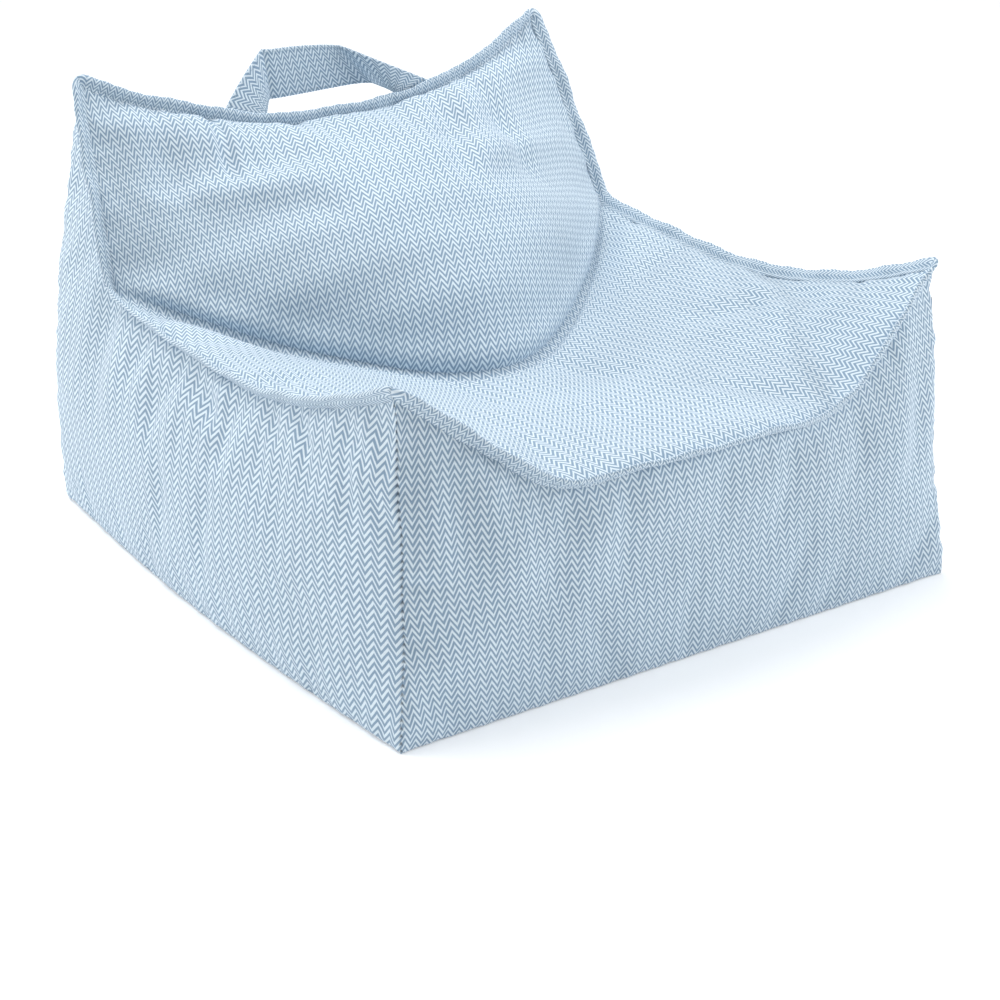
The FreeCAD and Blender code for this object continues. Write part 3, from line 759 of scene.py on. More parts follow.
def blurred(field, times):
    for _ in range(times):
        for axis in (0, 1):
            ahead, behind = np.roll(field, -1, axis), np.roll(field, 1, axis)
            smooth = field * 0.5 + (ahead + behind) * 0.25
            for key in ("u0", "u1", "v0", "v1"):
                border(smooth, key)[...] = border(field, key)
            field = smooth
    return field


def settled(grids):
    """Movement of each coarse panel: a little of the broad swelling, and all of the wrinkles."""
    result = {}
    for n, change in swollen(grids).items():
        normal = normals(grids[n], OUTWARD[n])
        out = (change * normal).sum(2)
        broad = blurred(out, 40)
        wrinkles = out - broad
        calm = np.tanh(broad / (9 * MM)) * 5 * MM + np.tanh(wrinkles / (6 * MM)) * 6 * MM
        result[n] = normal * calm[..., None]
    return result


def fold(points, start, end, width, depth, lips=0.0):
    """How far each point moves along its normal at a soft fold, in metres; sizes are in millimetres."""
    a, b = np.array(start, float) * MM, np.array(end, float) * MM
    way = b - a
    t = np.clip(((points - a) @ way) / (way @ way), 0, 1)
    off = np.linalg.norm(points - (a + t[..., None] * way), axis=-1) / (width * MM)
    taper = np.sin(math.pi * np.clip(t, 0.0, 1.0)) ** 0.5
    return taper * MM * (-depth * np.exp(-(off**2)) + lips * np.exp(-((off - 1.9) ** 2)))


# Folds and dents of each panel: start, end, width, depth and the swell beside them.
FOLDS = {
    "inner": [
        ((-145, 265, 385), (-160, 180, 345), 7, 6, 2.5), ((-145, 265, 385), (-150, 235, 375), 4.5, 6, 1.5),
        ((115, 255, 380), (60, 110, 320), 14, 5.5, 2.5), ((165, 245, 385), (155, 130, 310), 14, 5.5, 2.5),
        ((-60, 258, 372), (-20, 190, 350), 16, 3, 1.5), ((40, 258, 372), (75, 170, 344), 18, 3.5, 1.5),
        ((-205, 275, 405), (-215, 190, 330), 16, 4, 2), ((-262, 225, 300), (-180, 160, 275), 12, 4, 2),
        ((255, 235, 320), (180, 150, 270), 14, 4, 2), ((-268, -200, 268), (-190, -150, 222), 15, 5, 2),
        ((270, -150, 255), (180, -90, 206), 18, 5, 2), ((-280, -60, 240), (-200, -30, 215), 14, 4, 1.5),
        ((-150, -318, 212), (-120, -230, 203), 12, 4, 1.5), ((150, -318, 212), (95, -210, 200), 15, 4, 1.5),
        ((-40, -320, 205), (-20, -180, 195), 26, 3, 1), ((275, 40, 238), (215, 30, 216), 10, 4, 1.5),
    ],
    "left": [
        ((-300, -100, 240), (-305, -135, 210), 8, 3.5, 1.2),
        ((-300, -145, 250), (-305, -185, 215), 8, 3.5, 1.2),
        ((-300, 35, 225), (-310, -35, 195), 12, 5, 2), ((-300, -245, 260), (-305, -275, 230), 8, 3, 1),
        ((-293, -60, 236), (-322, -35, 150), 14, 3, 1), ((-291, 45, 238), (-322, 95, 150), 16, 4.5, 1.8),
        ((-290, 110, 243), (-322, 150, 175), 12, 3, 1.2), ((-296, -230, 275), (-318, -262, 170), 12, 3, 1),
        ((-291, 190, 262), (-318, 215, 120), 18, 4, 1.5), ((-318, -250, 90), (-322, -120, 70), 22, 3.5, 1.2),
    ],
    "right": [
        ((293, -120, 243), (318, -150, 150), 16, 5, 2), ((291, 60, 238), (322, 90, 130), 16, 5, 2),
        ((291, 190, 262), (318, 215, 120), 18, 5, 2), ((296, -230, 275), (318, -262, 150), 12, 4, 1.5),
    ],
    "front": [
        ((-262, -318, 268), (-240, -340, 120), 16, 4.5, 2), ((-150, -338, 196), (-165, -345, 80), 22, 4, 1.5),
        ((20, -345, 205), (0, -345, 110), 30, 3, 1), ((170, -338, 198), (200, -345, 90), 22, 4, 1.5),
        ((268, -318, 262), (262, -335, 110), 14, 4.5, 2),
    ],
    "rear": [
        ((-150, 262, 372), (-120, 350, 200), 18, 5, 2), ((150, 262, 372), (110, 350, 200), 18, 5, 2),
        ((-235, 280, 380), (-250, 340, 150), 18, 5, 2), ((235, 280, 380), (255, 340, 170), 20, 5, 2),
        ((0, 262, 366), (15, 340, 240), 26, 4, 1.5),
    ],
    "base": [],
}


def edge_distances(grid):
    """Distance of each point from the nearer end of its run, both ways."""
    along_u, along_v = arc_grid(grid, 0, 0), arc_grid(grid, 1, 0)
    return np.minimum(along_u, along_u[-1:] - along_u), np.minimum(along_v, along_v[:, -1:] - along_v)


def gathers(grid, seed):
    """Small gathers that run away from each seam, as a movement along the normal."""
    du, dv = edge_distances(grid)
    local = np.random.default_rng(seed)
    total = np.zeros(du.shape)
    for distance, axis in ((du, 1), (dv, 0)):
        run = arc_grid(grid, axis, 0)
        wave = sum(
            np.sin(run * 2 * math.pi / (length * MM) + local.uniform(0, 6.28)) * size
            for length, size in ((11, 0.35), (17, 0.6), (26, 0.8), (43, 0.7))
        )
        total += wave * np.exp(-distance / (15 * MM)) * (1 - np.exp(-distance / (3 * MM)))
    return total * 0.5 * MM


REST = {n: sampled(n, FINE) for n in NETS}
COARSE_GRIDS = {n: sampled(n, COARSE) for n in NETS}
COARSE_MOVES = settled(COARSE_GRIDS)
NORMALS = {n: normals(REST[n], OUTWARD[n]) for n in NETS}


def spread_out(name):
    """Coarse movement carried to the fine grid, still nothing at the seams."""
    u, v = DIRECTIONS[name]
    move = COARSE_MOVES[name]
    first, second = basis(move.shape[0], FINE[u]), basis(move.shape[1], FINE[v])
    return np.einsum("iu,uvc,jv->ijc", first, move, second)


def seam_moves():
    """For each panel border, how far the stitching draws it in. Neighbours share it."""
    found = {}
    for one, key, other, other_key, depth in SEAMS:
        inward = -unit(border(NORMALS[one], key) + border(NORMALS[other], other_key))
        run = lengths(border(REST[one], key))
        taper = np.clip(np.minimum(run, run[-1] - run) / (14 * MM), 0, 1)
        turns = run * 2 * math.pi
        tension = 1 + 0.22 * np.sin(turns / (31 * MM)) + 0.16 * np.sin(turns / (19 * MM) + 1)
        move = inward * (depth * MM * taper * tension)[:, None]
        found[one, key] = found[other, other_key] = move
    return found


DRAWN = seam_moves()


CREASE_SHARE = 0.625  # where the crease crosses the seat and back panel, as a share of its rows


def crease(run_u, run_v):
    """The tight valley under the backrest, fading out at the elbows."""
    at = np.array([np.interp(CREASE_SHARE, params_of("along", FINE["along"]), row) for row in run_v])
    fade = np.clip(np.minimum(run_u, run_u[-1:] - run_u) / (70 * MM), 0, 1)
    off = run_v - at[:, None]
    valley = -8.5 * MM * np.exp(-((off / (7 * MM)) ** 2))
    lip = 3.0 * MM * np.exp(-(((off - 20 * MM) / (12 * MM)) ** 2))
    return (valley + lip) * fade


def finished(name):
    """The panel's outer face with everything that happens to it."""
    grid, normal = REST[name], NORMALS[name]
    moved = grid + spread_out(name) + wobble(grid)
    run_u, run_v = arc_grid(grid, 0, 0), arc_grid(grid, 1, 0)
    width = 6 * MM
    moved = moved + DRAWN[name, "u0"][None] * np.exp(-run_u / width)[..., None]
    moved = moved + DRAWN[name, "u1"][None] * np.exp(-(run_u[-1:] - run_u) / width)[..., None]
    moved = moved + DRAWN[name, "v0"][:, None] * np.exp(-run_v / width)[..., None]
    moved = moved + DRAWN[name, "v1"][:, None] * np.exp(-(run_v[:, -1:] - run_v) / width)[..., None]
    du, dv = edge_distances(grid)
    clear = 1 - np.exp(-np.minimum(du, dv) / (5 * MM))
    extra = sum((fold(grid, *one) for one in FOLDS[name]), np.zeros(du.shape)) * clear
    if name != "base":
        extra = extra + gathers(grid, 100 + len(name))
    if name == "inner":
        extra = extra + crease(run_u, run_v)
    return moved + normal * extra[..., None]


# how far the side panels' cloth is squeezed across its columns, and how far the front panel and the
# backrest above the crease are cut off the grain
SIDE_SQUEEZE, FRONT_BIAS, BACK_BIAS = 0.72, 0.1, -0.25


def weave_map(name):
    """Arc lengths both ways on the resting panel, from its middle."""
    grid = REST[name]
    origin = grid.shape[0] // 2 if DIRECTIONS[name][0] == "across" else 0
    across, along = arc_grid(grid, 0, origin), arc_grid(grid, 1, 0)
    if name in ("left", "right"):
        across = across * SIDE_SQUEEZE
    if name == "front":
        across = across + along * FRONT_BIAS
    if name == "inner":
        crease_run = np.median(along[:, int(0.62 * along.shape[1])])
        across = across + BACK_BIAS * np.maximum(along - crease_run, 0)
    return np.stack([across, along], axis=2)


SHAPE = {n: finished(n) for n in NETS}
for panel_name, node, material in (
    ("inner", "seat_back_panel", COVER), ("front", "front_panel", COVER_WALL),
    ("left", "left_side_panel", COVER_WALL), ("right", "right_side_panel", COVER_WALL),
):
    grid_edges = np.stack(edge_distances(REST[panel_name]), axis=2)
    cloth_mesh = shell(node + "_cloth", SHAPE[panel_name], OUTWARD[panel_name], weave_map(panel_name),
                       edges=grid_edges)
    place(node + "_cloth", cloth_mesh, material, replaces=[node], pad=0.7)

every_second = SHAPE["base"][::4, ::4]
base_weave = weave_map("base")[::4, ::4]
base_cloth = shell("base_panel_cloth", every_second, OUTWARD["base"], base_weave, stride=1)
place("base_panel_cloth", base_cloth, BASE_CLOTH, slot="base_fabric", replaces=["base_panel"], pad=0.7)

# The rear wall is two panels that part at the zipper's window.
ZIP_Z, WINDOW_HALF, WINDOW_RISE = 62 * MM, 226 * MM, 14 * MM


def rear_panels():
    grid, shape = REST["rear"], SHAPE["rear"]
    weave, edges = weave_map("rear"), np.stack(edge_distances(grid), axis=2)
    x = np.abs(grid[:, 2, 0])
    opening = 1 - np.clip((x - WINDOW_HALF) / (5 * MM), 0, 1)
    opening = opening**2 * (3 - 2 * opening) * WINDOW_RISE
    parts = {}
    for label, low, high in (
        ("rear_lower_panel", np.zeros(len(x)), ZIP_Z - opening),
        ("rear_upper_panel", ZIP_Z + opening, np.full(len(x), 9.0)),
    ):
        shares = stations(60 * MM, 1.2 * MM, 3 * MM, 20 * MM, 4) if label == "rear_lower_panel" else stations(
            300 * MM, 1.3 * MM, 3 * MM, 25 * MM, 4)
        columns = []
        for i in range(len(x)):
            heights = grid[i, :, 2]
            ends = np.interp([low[i], min(high[i], heights[-1])], heights, np.arange(len(heights)))
            at = mix(ends[0], ends[1], shares)
            stacked = np.concatenate([shape[i], weave[i], edges[i]], axis=1)
            columns.append(np.stack([np.interp(at, np.arange(len(heights)), stacked[:, c]) for c in range(7)],
                                    axis=1))
        made = np.stack(columns)
        points, run = made[..., :3].copy(), arc_grid(made[..., :3], 1, 0)
        lip = run[:, -1:] - run if label == "rear_lower_panel" else run
        # the hem rolls in towards the zipper, and the short seam beside it is drawn in
        inward = np.exp(-((lip / (3.2 * MM)) ** 2)) * np.where(opening > 0, 3.4 * MM, 1.6 * MM)[:, None]
        ridge = 1.3 * MM * np.exp(-(((lip - 5.5 * MM) / (2.6 * MM)) ** 2)) * (opening / WINDOW_RISE)[:, None]
        normal = normals(points, OUTWARD["rear"])
        points += normal * (ridge - inward)[..., None]
        # the cloth lies flat where the pull tab reaches over the end of the window
        beside, above = np.abs(points[..., 0]) - WINDOW_HALF - 6 * MM, points[..., 2] - ZIP_Z
        flat = np.exp(-((beside / (18 * MM)) ** 2) - (above / (12 * MM)) ** 2)
        level = np.minimum(points[..., 1], (REAR + 0.2) * MM)
        points[..., 1] = mix(points[..., 1], level, np.clip(flat * 1.8, 0, 1))
        parts[label] = (points, made[..., 3:5], made[..., 5:7])
    return parts


REAR_PARTS = rear_panels()
for node, (points, weave, edges) in REAR_PARTS.items():
    cloth_mesh = shell(node + "_cloth", points, OUTWARD["rear"], weave, edges=edges)
    place(node + "_cloth", cloth_mesh, COVER_WALL, replaces=[node], pad=0.7)

# ---------------------------------------------------------------------------------------------
# Flanges: the double-stitched edge that stands out of the rim, one piece for each sewn run
# ---------------------------------------------------------------------------------------------
def rim_line(poles, step=1.6 * MM):
    line = basis(len(poles), np.linspace(0, 1, 3001)) @ poles
    run = lengths(line)
    at = np.linspace(0, run[-1], int(run[-1] / step) + 1)
    return np.stack([np.interp(at, run, line[:, c]) for c in range(3)], axis=1)


# The way the flange stands out of the rim, at shares of each run, on the right-hand side.
FRONT_WAYS = [
    (0, (0, -0.86, 0.5)), (0.2, (0, -0.82, 0.57)), (0.5, (0.02, -0.6, 0.8)), (0.78, (0.02, -0.34, 0.94)),
    (0.93, (0.14, -0.3, 0.94)), (1, (0.36, -0.36, 0.86)),
]
ARM_WAYS = [
    (0, (0.36, -0.36, 0.86)), (0.06, (0.5, -0.1, 0.86)), (0.5, (0.62, 0, 0.78)), (0.9, (0.66, -0.05, 0.75)),
    (1, (0.78, -0.16, 0.6)),
]
BACK_WAYS = [
    (0, (0.78, -0.16, 0.6)), (0.15, (0.9, -0.2, 0.38)), (0.8, (0.9, -0.12, 0.42)), (0.94, (0.8, -0.06, 0.6)),
    (1, (0.5, 0, 0.86)),
]
TOP_WAYS = [(0, (0.5, 0, 0.86)), (0.06, (0.2, 0.02, 0.98)), (0.3, (0.05, 0.05, 1)), (1, (0, 0.05, 1))]


def ways_along(keys, shares):
    places = [k for k, _ in keys]
    return np.stack([np.interp(shares, places, [w[c] for _, w in keys]) for c in range(3)], axis=1)


def rim_loop():
    """The whole rim, anticlockwise from the left front corner.
    It has the flange's way at each point and the node that the point belongs to."""
    front = rim_line(NETS["inner"][:, 0])
    right = rim_line(NETS["inner"][-1])
    top = rim_line(NETS["inner"][::-1, -1])
    junction = np.argmin(np.linalg.norm(right - RIM[CREASE_ROW] * MM, axis=1))
    arm, back = right[: junction + 1], right[junction:]
    mirror = vec(-1, 1, 1)

    def share(line):
        run = lengths(line)
        return run / run[-1]

    half_front, half_top = np.abs(share(front) * 2 - 1), np.abs(share(top) * 2 - 1)
    front_way, top_way = ways_along(FRONT_WAYS, half_front), ways_along(TOP_WAYS, 1 - half_top)
    front_way *= np.where(share(front) < 0.5, -1, 1)[:, None] * vec(1, 0, 0) + vec(0, 1, 1)
    top_way *= np.where(share(top) > 0.5, -1, 1)[:, None] * vec(1, 0, 0) + vec(0, 1, 1)
    arm_way, back_way = ways_along(ARM_WAYS, share(arm)), ways_along(BACK_WAYS, share(back))
    runs = [
        ("front_flange", front, front_way), ("right_arm_flange", arm, arm_way),
        ("right_back_flange", back, back_way),
        ("top_flange", top, top_way), ("left_back_flange", (back * mirror)[::-1], (back_way * mirror)[::-1]),
        ("left_arm_flange", (arm * mirror)[::-1], (arm_way * mirror)[::-1]),
    ]
    points = np.concatenate([line[:-1] for _, line, _ in runs])
    ways = np.concatenate([way[:-1] for _, _, way in runs])
    owner = np.concatenate([[k] * (len(line) - 1) for k, (_, line, _) in enumerate(runs)])
    return [n for n, _, _ in runs], points, ways, owner


def around(values, spread):
    """Gaussian smoothing along a closed loop; spread is in samples."""
    reach = int(spread * 3)
    kernel = np.exp(-0.5 * (np.arange(-reach, reach + 1) / spread) ** 2)
    kernel /= kernel.sum()
    wrapped = np.concatenate([values[-reach:], values, values[:reach]])
    return np.stack([np.convolve(wrapped[:, c], kernel, "valid") for c in range(values.shape[1])], axis=1)


FLANGE_NAMES, LOOP, LOOP_WAYS, LOOP_OWNER = rim_loop()


def flange_frames():
    smooth = around(LOOP, 2.6)
    ways = unit(around(LOOP_WAYS, 6))
    tangent = unit(around(np.roll(smooth, -1, 0) - np.roll(smooth, 1, 0), 4))
    ways = unit(ways - tangent * (ways * tangent).sum(1, keepdims=True))
    # the strip leans a little this way and that along its length
    run = np.arange(len(LOOP)) * 1.6 * MM
    side = np.cross(tangent, ways)
    lean = 0.1 * np.sin(run * 2 * math.pi / (83 * MM)) + 0.07 * np.sin(run * 2 * math.pi / (47 * MM) + 2)
    ways = unit(ways + side * lean[:, None])
    return smooth + wobble(smooth) - ways * 2.6 * MM, ways, unit(np.cross(tangent, ways)), run


FLANGE_BASE, FLANGE_UP, FLANGE_SIDE, FLANGE_RUN = flange_frames()
# Outline across the strip, in mm: pinched at the stitch line, full towards its fold.
FLANGE_OUTLINE = [
    (-1.2, -1.9), (1.4, -1.7), (3.1, -1.15), (4.6, -1.7), (7.0, -2.35), (9.6, -2.4), (11.7, -1.7),
    (12.7, 0.0),
    (11.7, 1.7), (9.6, 2.4), (7.0, 2.35), (4.6, 1.7), (3.1, 1.15), (1.4, 1.7), (-1.2, 1.9),
]


def flange_section(run):
    """The outline at each place along the strip: it fills and slackens a little."""
    outline = np.array(FLANGE_OUTLINE)[None] * MM
    turns = run * 2 * math.pi
    full = 1 + 0.1 * np.sin(turns / (29 * MM)) + 0.08 * np.sin(turns / (13.5 * MM) + 1)
    tall = 1 + 0.05 * np.sin(turns / (61 * MM) + 0.6) + 0.025 * np.sin(turns / (17 * MM))
    section = np.repeat(outline, len(run), axis=0)
    section[..., 0] *= tall[:, None]
    section[..., 1] *= full[:, None]
    return section


for k, node in enumerate(FLANGE_NAMES):
    index = np.flatnonzero(LOOP_OWNER == k)
    index = np.concatenate([index, [(index[-1] + 1) % len(LOOP)]])
    across_strip = node in ("front_flange", "top_flange")
    section = flange_section(FLANGE_RUN[index])
    mesh = sweep(node + "_strip", FLANGE_BASE[index], FLANGE_UP[index], FLANGE_SIDE[index], section)
    place(node + "_strip", mesh, COVER_ALONG if across_strip else COVER_TURNED, replaces=[node], pad=0.5)
    # a row of stitches along the foot of the strip, on both its faces
    pitch = 3.9 * MM
    ticks = np.arange(FLANGE_RUN[index[0]] + pitch / 2, FLANGE_RUN[index[0]] + (len(index) - 1) * 1.6 * MM,
                      pitch)
    local = (ticks - FLANGE_RUN[index[0]]) / (1.6 * MM)
    picked = index[np.clip(np.round(local).astype(int), 0, len(index) - 1)]
    along = unit(np.cross(FLANGE_UP[picked], FLANGE_SIDE[picked]))
    frames = []
    for sign in (-1, 1):
        spot = FLANGE_BASE[picked] + FLANGE_UP[picked] * 3.1 * MM + FLANGE_SIDE[picked] * sign * 1.2 * MM
        frames.append(np.stack([spot, along, FLANGE_UP[picked], FLANGE_SIDE[picked]], axis=1))
    body, body_faces = capsule(2.9 * MM, 0.33 * MM)
    stitches = scattered(node + "_stitches", body, body_faces, np.concatenate(frames))
    place(node + "_stitches", stitches, THREAD)

# ---------------------------------------------------------------------------------------------
# Carry handle: a padded strap that rises from the top seam, folds over, and comes down again
# ---------------------------------------------------------------------------------------------
# Its two edges from the left foot to the right foot, in millimetres.
STRAP = [
    ((-138, 262, 366), (-84, 262, 360)),
    ((-131, 266, 384), (-78, 266, 376)),
    ((-103, 277, 412), (-70, 275, 385)),
    ((-80, 284, 432), (-66, 281, 389)),
    ((-67, 290, 441), (-61, 287, 390)),
    ((-66, 290, 441), (-60, 287, 390)),
    ((-60, 287, 440), (-55, 285, 390)),
    ((-36, 289, 440), (-22, 288, 390)),
    ((-4, 288, 438), (12, 288, 391)),
    ((14, 286, 436), (40, 288, 392)),
    ((20, 284, 435), (60, 286, 391)),
    ((22, 281, 434), (63, 283, 390)),
    ((31, 273, 430), (66, 276, 388)),
    ((72, 264, 411), (73, 265, 384)),
    ((105, 262, 396), (77, 262, 377)),
    ((132, 263, 383), (79, 262, 372)),
    ((139, 262, 366), (84, 262, 360)),
]


def strap():
    upper, lower = (np.array([row[k] for row in STRAP], float) * MM for k in (0, 1))
    params = np.linspace(0, 1, 170)
    weights = basis(len(STRAP), params)
    upper, lower = weights @ upper, weights @ lower
    middle, width = (upper + lower) / 2, np.linalg.norm(upper - lower, axis=1)
    across = unit(upper - lower)
    tangent = unit(np.gradient(middle, axis=0))
    face = unit(np.cross(tangent, across))
    half = 2.1 * MM
    ring = []
    for k in range(28):
        angle = 2 * math.pi * k / 28
        c, s = math.cos(angle), math.sin(angle)
        ring.append((math.copysign(abs(c) ** 0.35, c), math.copysign(abs(s) ** 0.6, s)))
    ring = np.array(ring)
    section = np.empty((len(params), 28, 2))
    section[..., 0] = ring[None, :, 0] * (width / 2)[:, None]
    # thin at the edge stitching, full in the middle
    rounded = np.cos(np.clip(ring[:, 0], -1, 1) * math.pi / 2)
    plump = 0.72 + 0.28 * rounded + 0.12 * (np.abs(ring[:, 0]) > 0.93)
    section[..., 1] = ring[None, :, 1] * plump[None] * half
    return middle, across, face, section, width


middle, across, face, section, strap_width = strap()
strap_mesh = sweep("carry_handle_strap", middle, across, face, section)
handle = place("carry_handle_strap", strap_mesh, COVER_STRAP, body=None, replaces=["carry_handle"], pad=0.4)
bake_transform(handle)
strap_run = lengths(middle)
spots = np.arange(6 * MM, strap_run[-1] - 6 * MM, 3.9 * MM)
picked = np.interp(spots, strap_run, np.arange(len(strap_run)))
low = picked.astype(int)
frames = []
for edge in (-1, 1):
    for front in (-1, 1):
        aside = across[low] * (edge * (strap_width[low] / 2 - 3.2 * MM))[:, None]
        spot = middle[low] + aside + face[low] * front * 1.75 * MM
        along = unit(np.cross(across[low], face[low]))
        frames.append(np.stack([spot, along, across[low], face[low]], axis=1))
body, body_faces = capsule(2.8 * MM, 0.32 * MM)
strap_mesh = scattered("carry_handle_stitches", body, body_faces, np.concatenate(frames))
strap_stitches = place("carry_handle_stitches", strap_mesh, THREAD, body=None)
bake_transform(strap_stitches)

# ---------------------------------------------------------------------------------------------
# Zippers
# ---------------------------------------------------------------------------------------------
def coil(node, pitch, wire):
    """A zipper's continuous coil, in the space of its CAD bar."""
    low, high = (np.array(corner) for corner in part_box(node))
    turns = int((high[0] - low[0]) / pitch)
    t = np.linspace(0, 1, turns * 9 + 1)
    angle = t * turns * 2 * math.pi
    half = (high - low) / 2 - wire
    centre = (low + high) / 2
    radial = np.stack([np.zeros_like(t), np.cos(angle) * half[1], np.sin(angle) * half[2]], axis=1)
    points = radial + centre * (0, 1, 1)
    points[:, 0] = low[0] + t * (high[0] - low[0])
    tangent = unit(np.gradient(points, axis=0))
    ups = unit(radial - tangent * (radial * tangent).sum(1, keepdims=True))
    ring = np.array([(math.cos(a), math.sin(a)) for a in np.arange(5) * 2 * math.pi / 5]) * wire
    return sweep(node + "_coil", points, ups, np.cross(tangent, ups), ring)


def tape(node):
    """A woven tape with soft edges in the space of its CAD strip, which is thin along Y."""
    low, high = (np.array(corner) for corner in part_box(node))
    half, centre = (high - low) / 2, (low + high) / 2
    count = 120
    points = np.repeat(centre[None], count, axis=0)
    points[:, 0] = np.linspace(low[0], high[0], count)
    thin, wide = 1, 2
    points[:, thin] += 0.12 * MM * np.sin(points[:, 0] * 2 * math.pi / (37 * MM))
    ups, sides = np.zeros((count, 3)), np.zeros((count, 3))
    ups[:, wide], sides[:, thin] = 1, -1
    ring = []
    for k in range(16):
        angle = 2 * math.pi * k / 16
        c, s = math.cos(angle), math.sin(angle)
        ring.append((math.copysign(abs(c) ** 0.3, c) * half[wide],
                     math.copysign(abs(s) ** 0.8, s) * half[thin]))
    return sweep(node + "_cloth", points, ups, sides, np.array(ring))


for word in ("upper", "lower"):
    place(f"zip_{word}_coil", coil(f"zip_{word}_chain", 1.5 * MM, 0.36 * MM), COIL, slot="zip_teeth",
          replaces=[f"zip_{word}_chain"])
    place(f"zip_{word}_tape_cloth", tape(f"zip_{word}_tape"), TAPE, slot="zip_tape",
          replaces=[f"zip_{word}_tape"])


def joined_meshes(name, parts):
    points, faces, start = [], [], 0
    for more, more_faces in parts:
        points.append(more)
        faces += [tuple(v + start for v in face) for face in more_faces]
        start += len(more)
    return make_mesh(name, np.concatenate(points), faces)


def plate(outline, low, high, bevel, place_at):
    """A bevelled plate: outline is (x, z) pairs in mm, low and high its two faces along Y."""
    outline = np.array(outline, float)
    middle = outline.mean(0)
    rings = []
    for y, inset in ((low, bevel), (low + bevel, 0), (high - bevel, 0), (high, bevel)):
        shrunk = middle + (outline - middle) * (1 - inset / np.abs(outline - middle).max())
        rings.append(np.stack([shrunk[:, 0], np.full(len(shrunk), y), shrunk[:, 1]], axis=1) * MM + place_at)
    return lofted([ring[::-1] for ring in rings])


def round_rod(path, radius, place_at, sides=10):
    line = basis(len(path), np.linspace(0, 1, 40)) @ np.array(path, float)
    tangent = unit(np.gradient(line, axis=0))
    across = np.repeat([[0.0, 0.0, 1.0]], len(line), axis=0)
    other = np.cross(tangent, across)
    angle = np.arange(sides) * 2 * math.pi / sides
    rings = line[:, None] + radius * (
        np.cos(angle)[None, :, None] * across[:, None] + np.sin(angle)[None, :, None] * other[:, None])
    return lofted(rings * MM + place_at)


SHIELD = [(7, 2.2), (5.6, 4.4), (3, 5.3), (0, 5.5), (-3.2, 5.3), (-5.9, 4.2), (-7, 2.6), (-6.4, 0),
          (-7, -2.6), (-5.9, -4.2),
          (-3.2, -5.3), (0, -5.5), (3, -5.3), (5.6, -4.4), (7, -2.2), (7, 0)]
low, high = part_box("zip_slider")
slider_at = np.array([(low.x + high.x) / 2, low.y + 2.5 * MM, (low.z + high.z) / 2])
slider_parts = [plate(SHIELD, 1.4, 2.5, 0.35, slider_at), plate(SHIELD, -2.5, -1.4, 0.35, slider_at)]
slider_parts.append(plate([(2.4, 0.3), (-4.4, 0.3), (-4.4, -0.3), (2.4, -0.3)], -1.6, 1.6, 0.05, slider_at))
BRIDGE = [(-3.5, 2.0, 0), (-3.6, 4.4, 0), (-2.2, 5.1, 0), (0, 5.15, 0), (2.2, 5.1, 0), (3.6, 4.4, 0),
          (3.5, 2.0, 0)]
slider_parts.append(round_rod(BRIDGE, 0.72, slider_at))
place("zip_slider_body", joined_meshes("zip_slider_body", slider_parts), NICKEL, body="cover_slider",
      slot="zip_metal", replaces=["zip_slider"])


def tab_mesh():
    """Pull tab: an eye, a waist and a broad end."""
    low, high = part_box("zip_pull_tab")
    middle_y, middle_z = (low.y + high.y) / 2, (low.z + high.z) / 2
    start, length = low.x, high.x - low.x
    eye = np.array([start + 2.9 * MM, middle_z])
    half = [
        (0, 0), (0.02, 1.5), (0.06, 2.3), (0.14, 2.7), (0.24, 2.3), (0.34, 2.1), (0.5, 2.6), (0.72, 3.4),
        (0.86, 3.45), (0.94, 2.8), (0.985, 1.5), (1, 0),
    ]
    outline = [(start + x * length, middle_z + z * MM) for x, z in half]
    outline += [(start + x * length, middle_z - z * MM) for x, z in half[-2:0:-1]]
    outline = np.array(outline)
    angles = np.unwrap(np.arctan2(outline[:, 1] - eye[1], outline[:, 0] - eye[0]))
    order = np.argsort(angles)
    sides = 56
    wanted = np.linspace(angles.min(), angles.min() + 2 * math.pi, sides, endpoint=False)
    around_x = np.interp(wanted, angles[order], outline[order, 0], period=2 * math.pi)
    around_z = np.interp(wanted, angles[order], outline[order, 1], period=2 * math.pi)
    outer = np.stack([around_x, around_z], axis=1)
    hole = eye + np.stack([np.cos(wanted) * 1.9, np.sin(wanted) * 1.35], axis=1) * MM
    rings = []
    near, far = mix(hole, outer, 0.12), mix(hole, outer, 0.9)
    for flat, y in ((hole, -0.45), (hole, 0.45), (near, 0.6), (far, 0.6), (outer, 0.3), (outer, -0.3),
                    (far, -0.6), (near, -0.6)):
        rings.append(np.stack([flat[:, 0], np.full(len(flat), middle_y + y * MM), flat[:, 1]], axis=1))
    count, faces = len(rings), []
    for r in range(count):
        this, following = r * sides, (r + 1) % count * sides
        for k in range(sides):
            n = (k + 1) % sides
            faces.append((this + k, this + n, following + n, following + k))
    return make_mesh("zip_pull_tab_body", np.concatenate(rings), faces)


place("zip_pull_tab_body", tab_mesh(), NICKEL, body="pull_tab", slot="zip_metal", replaces=["zip_pull_tab"])

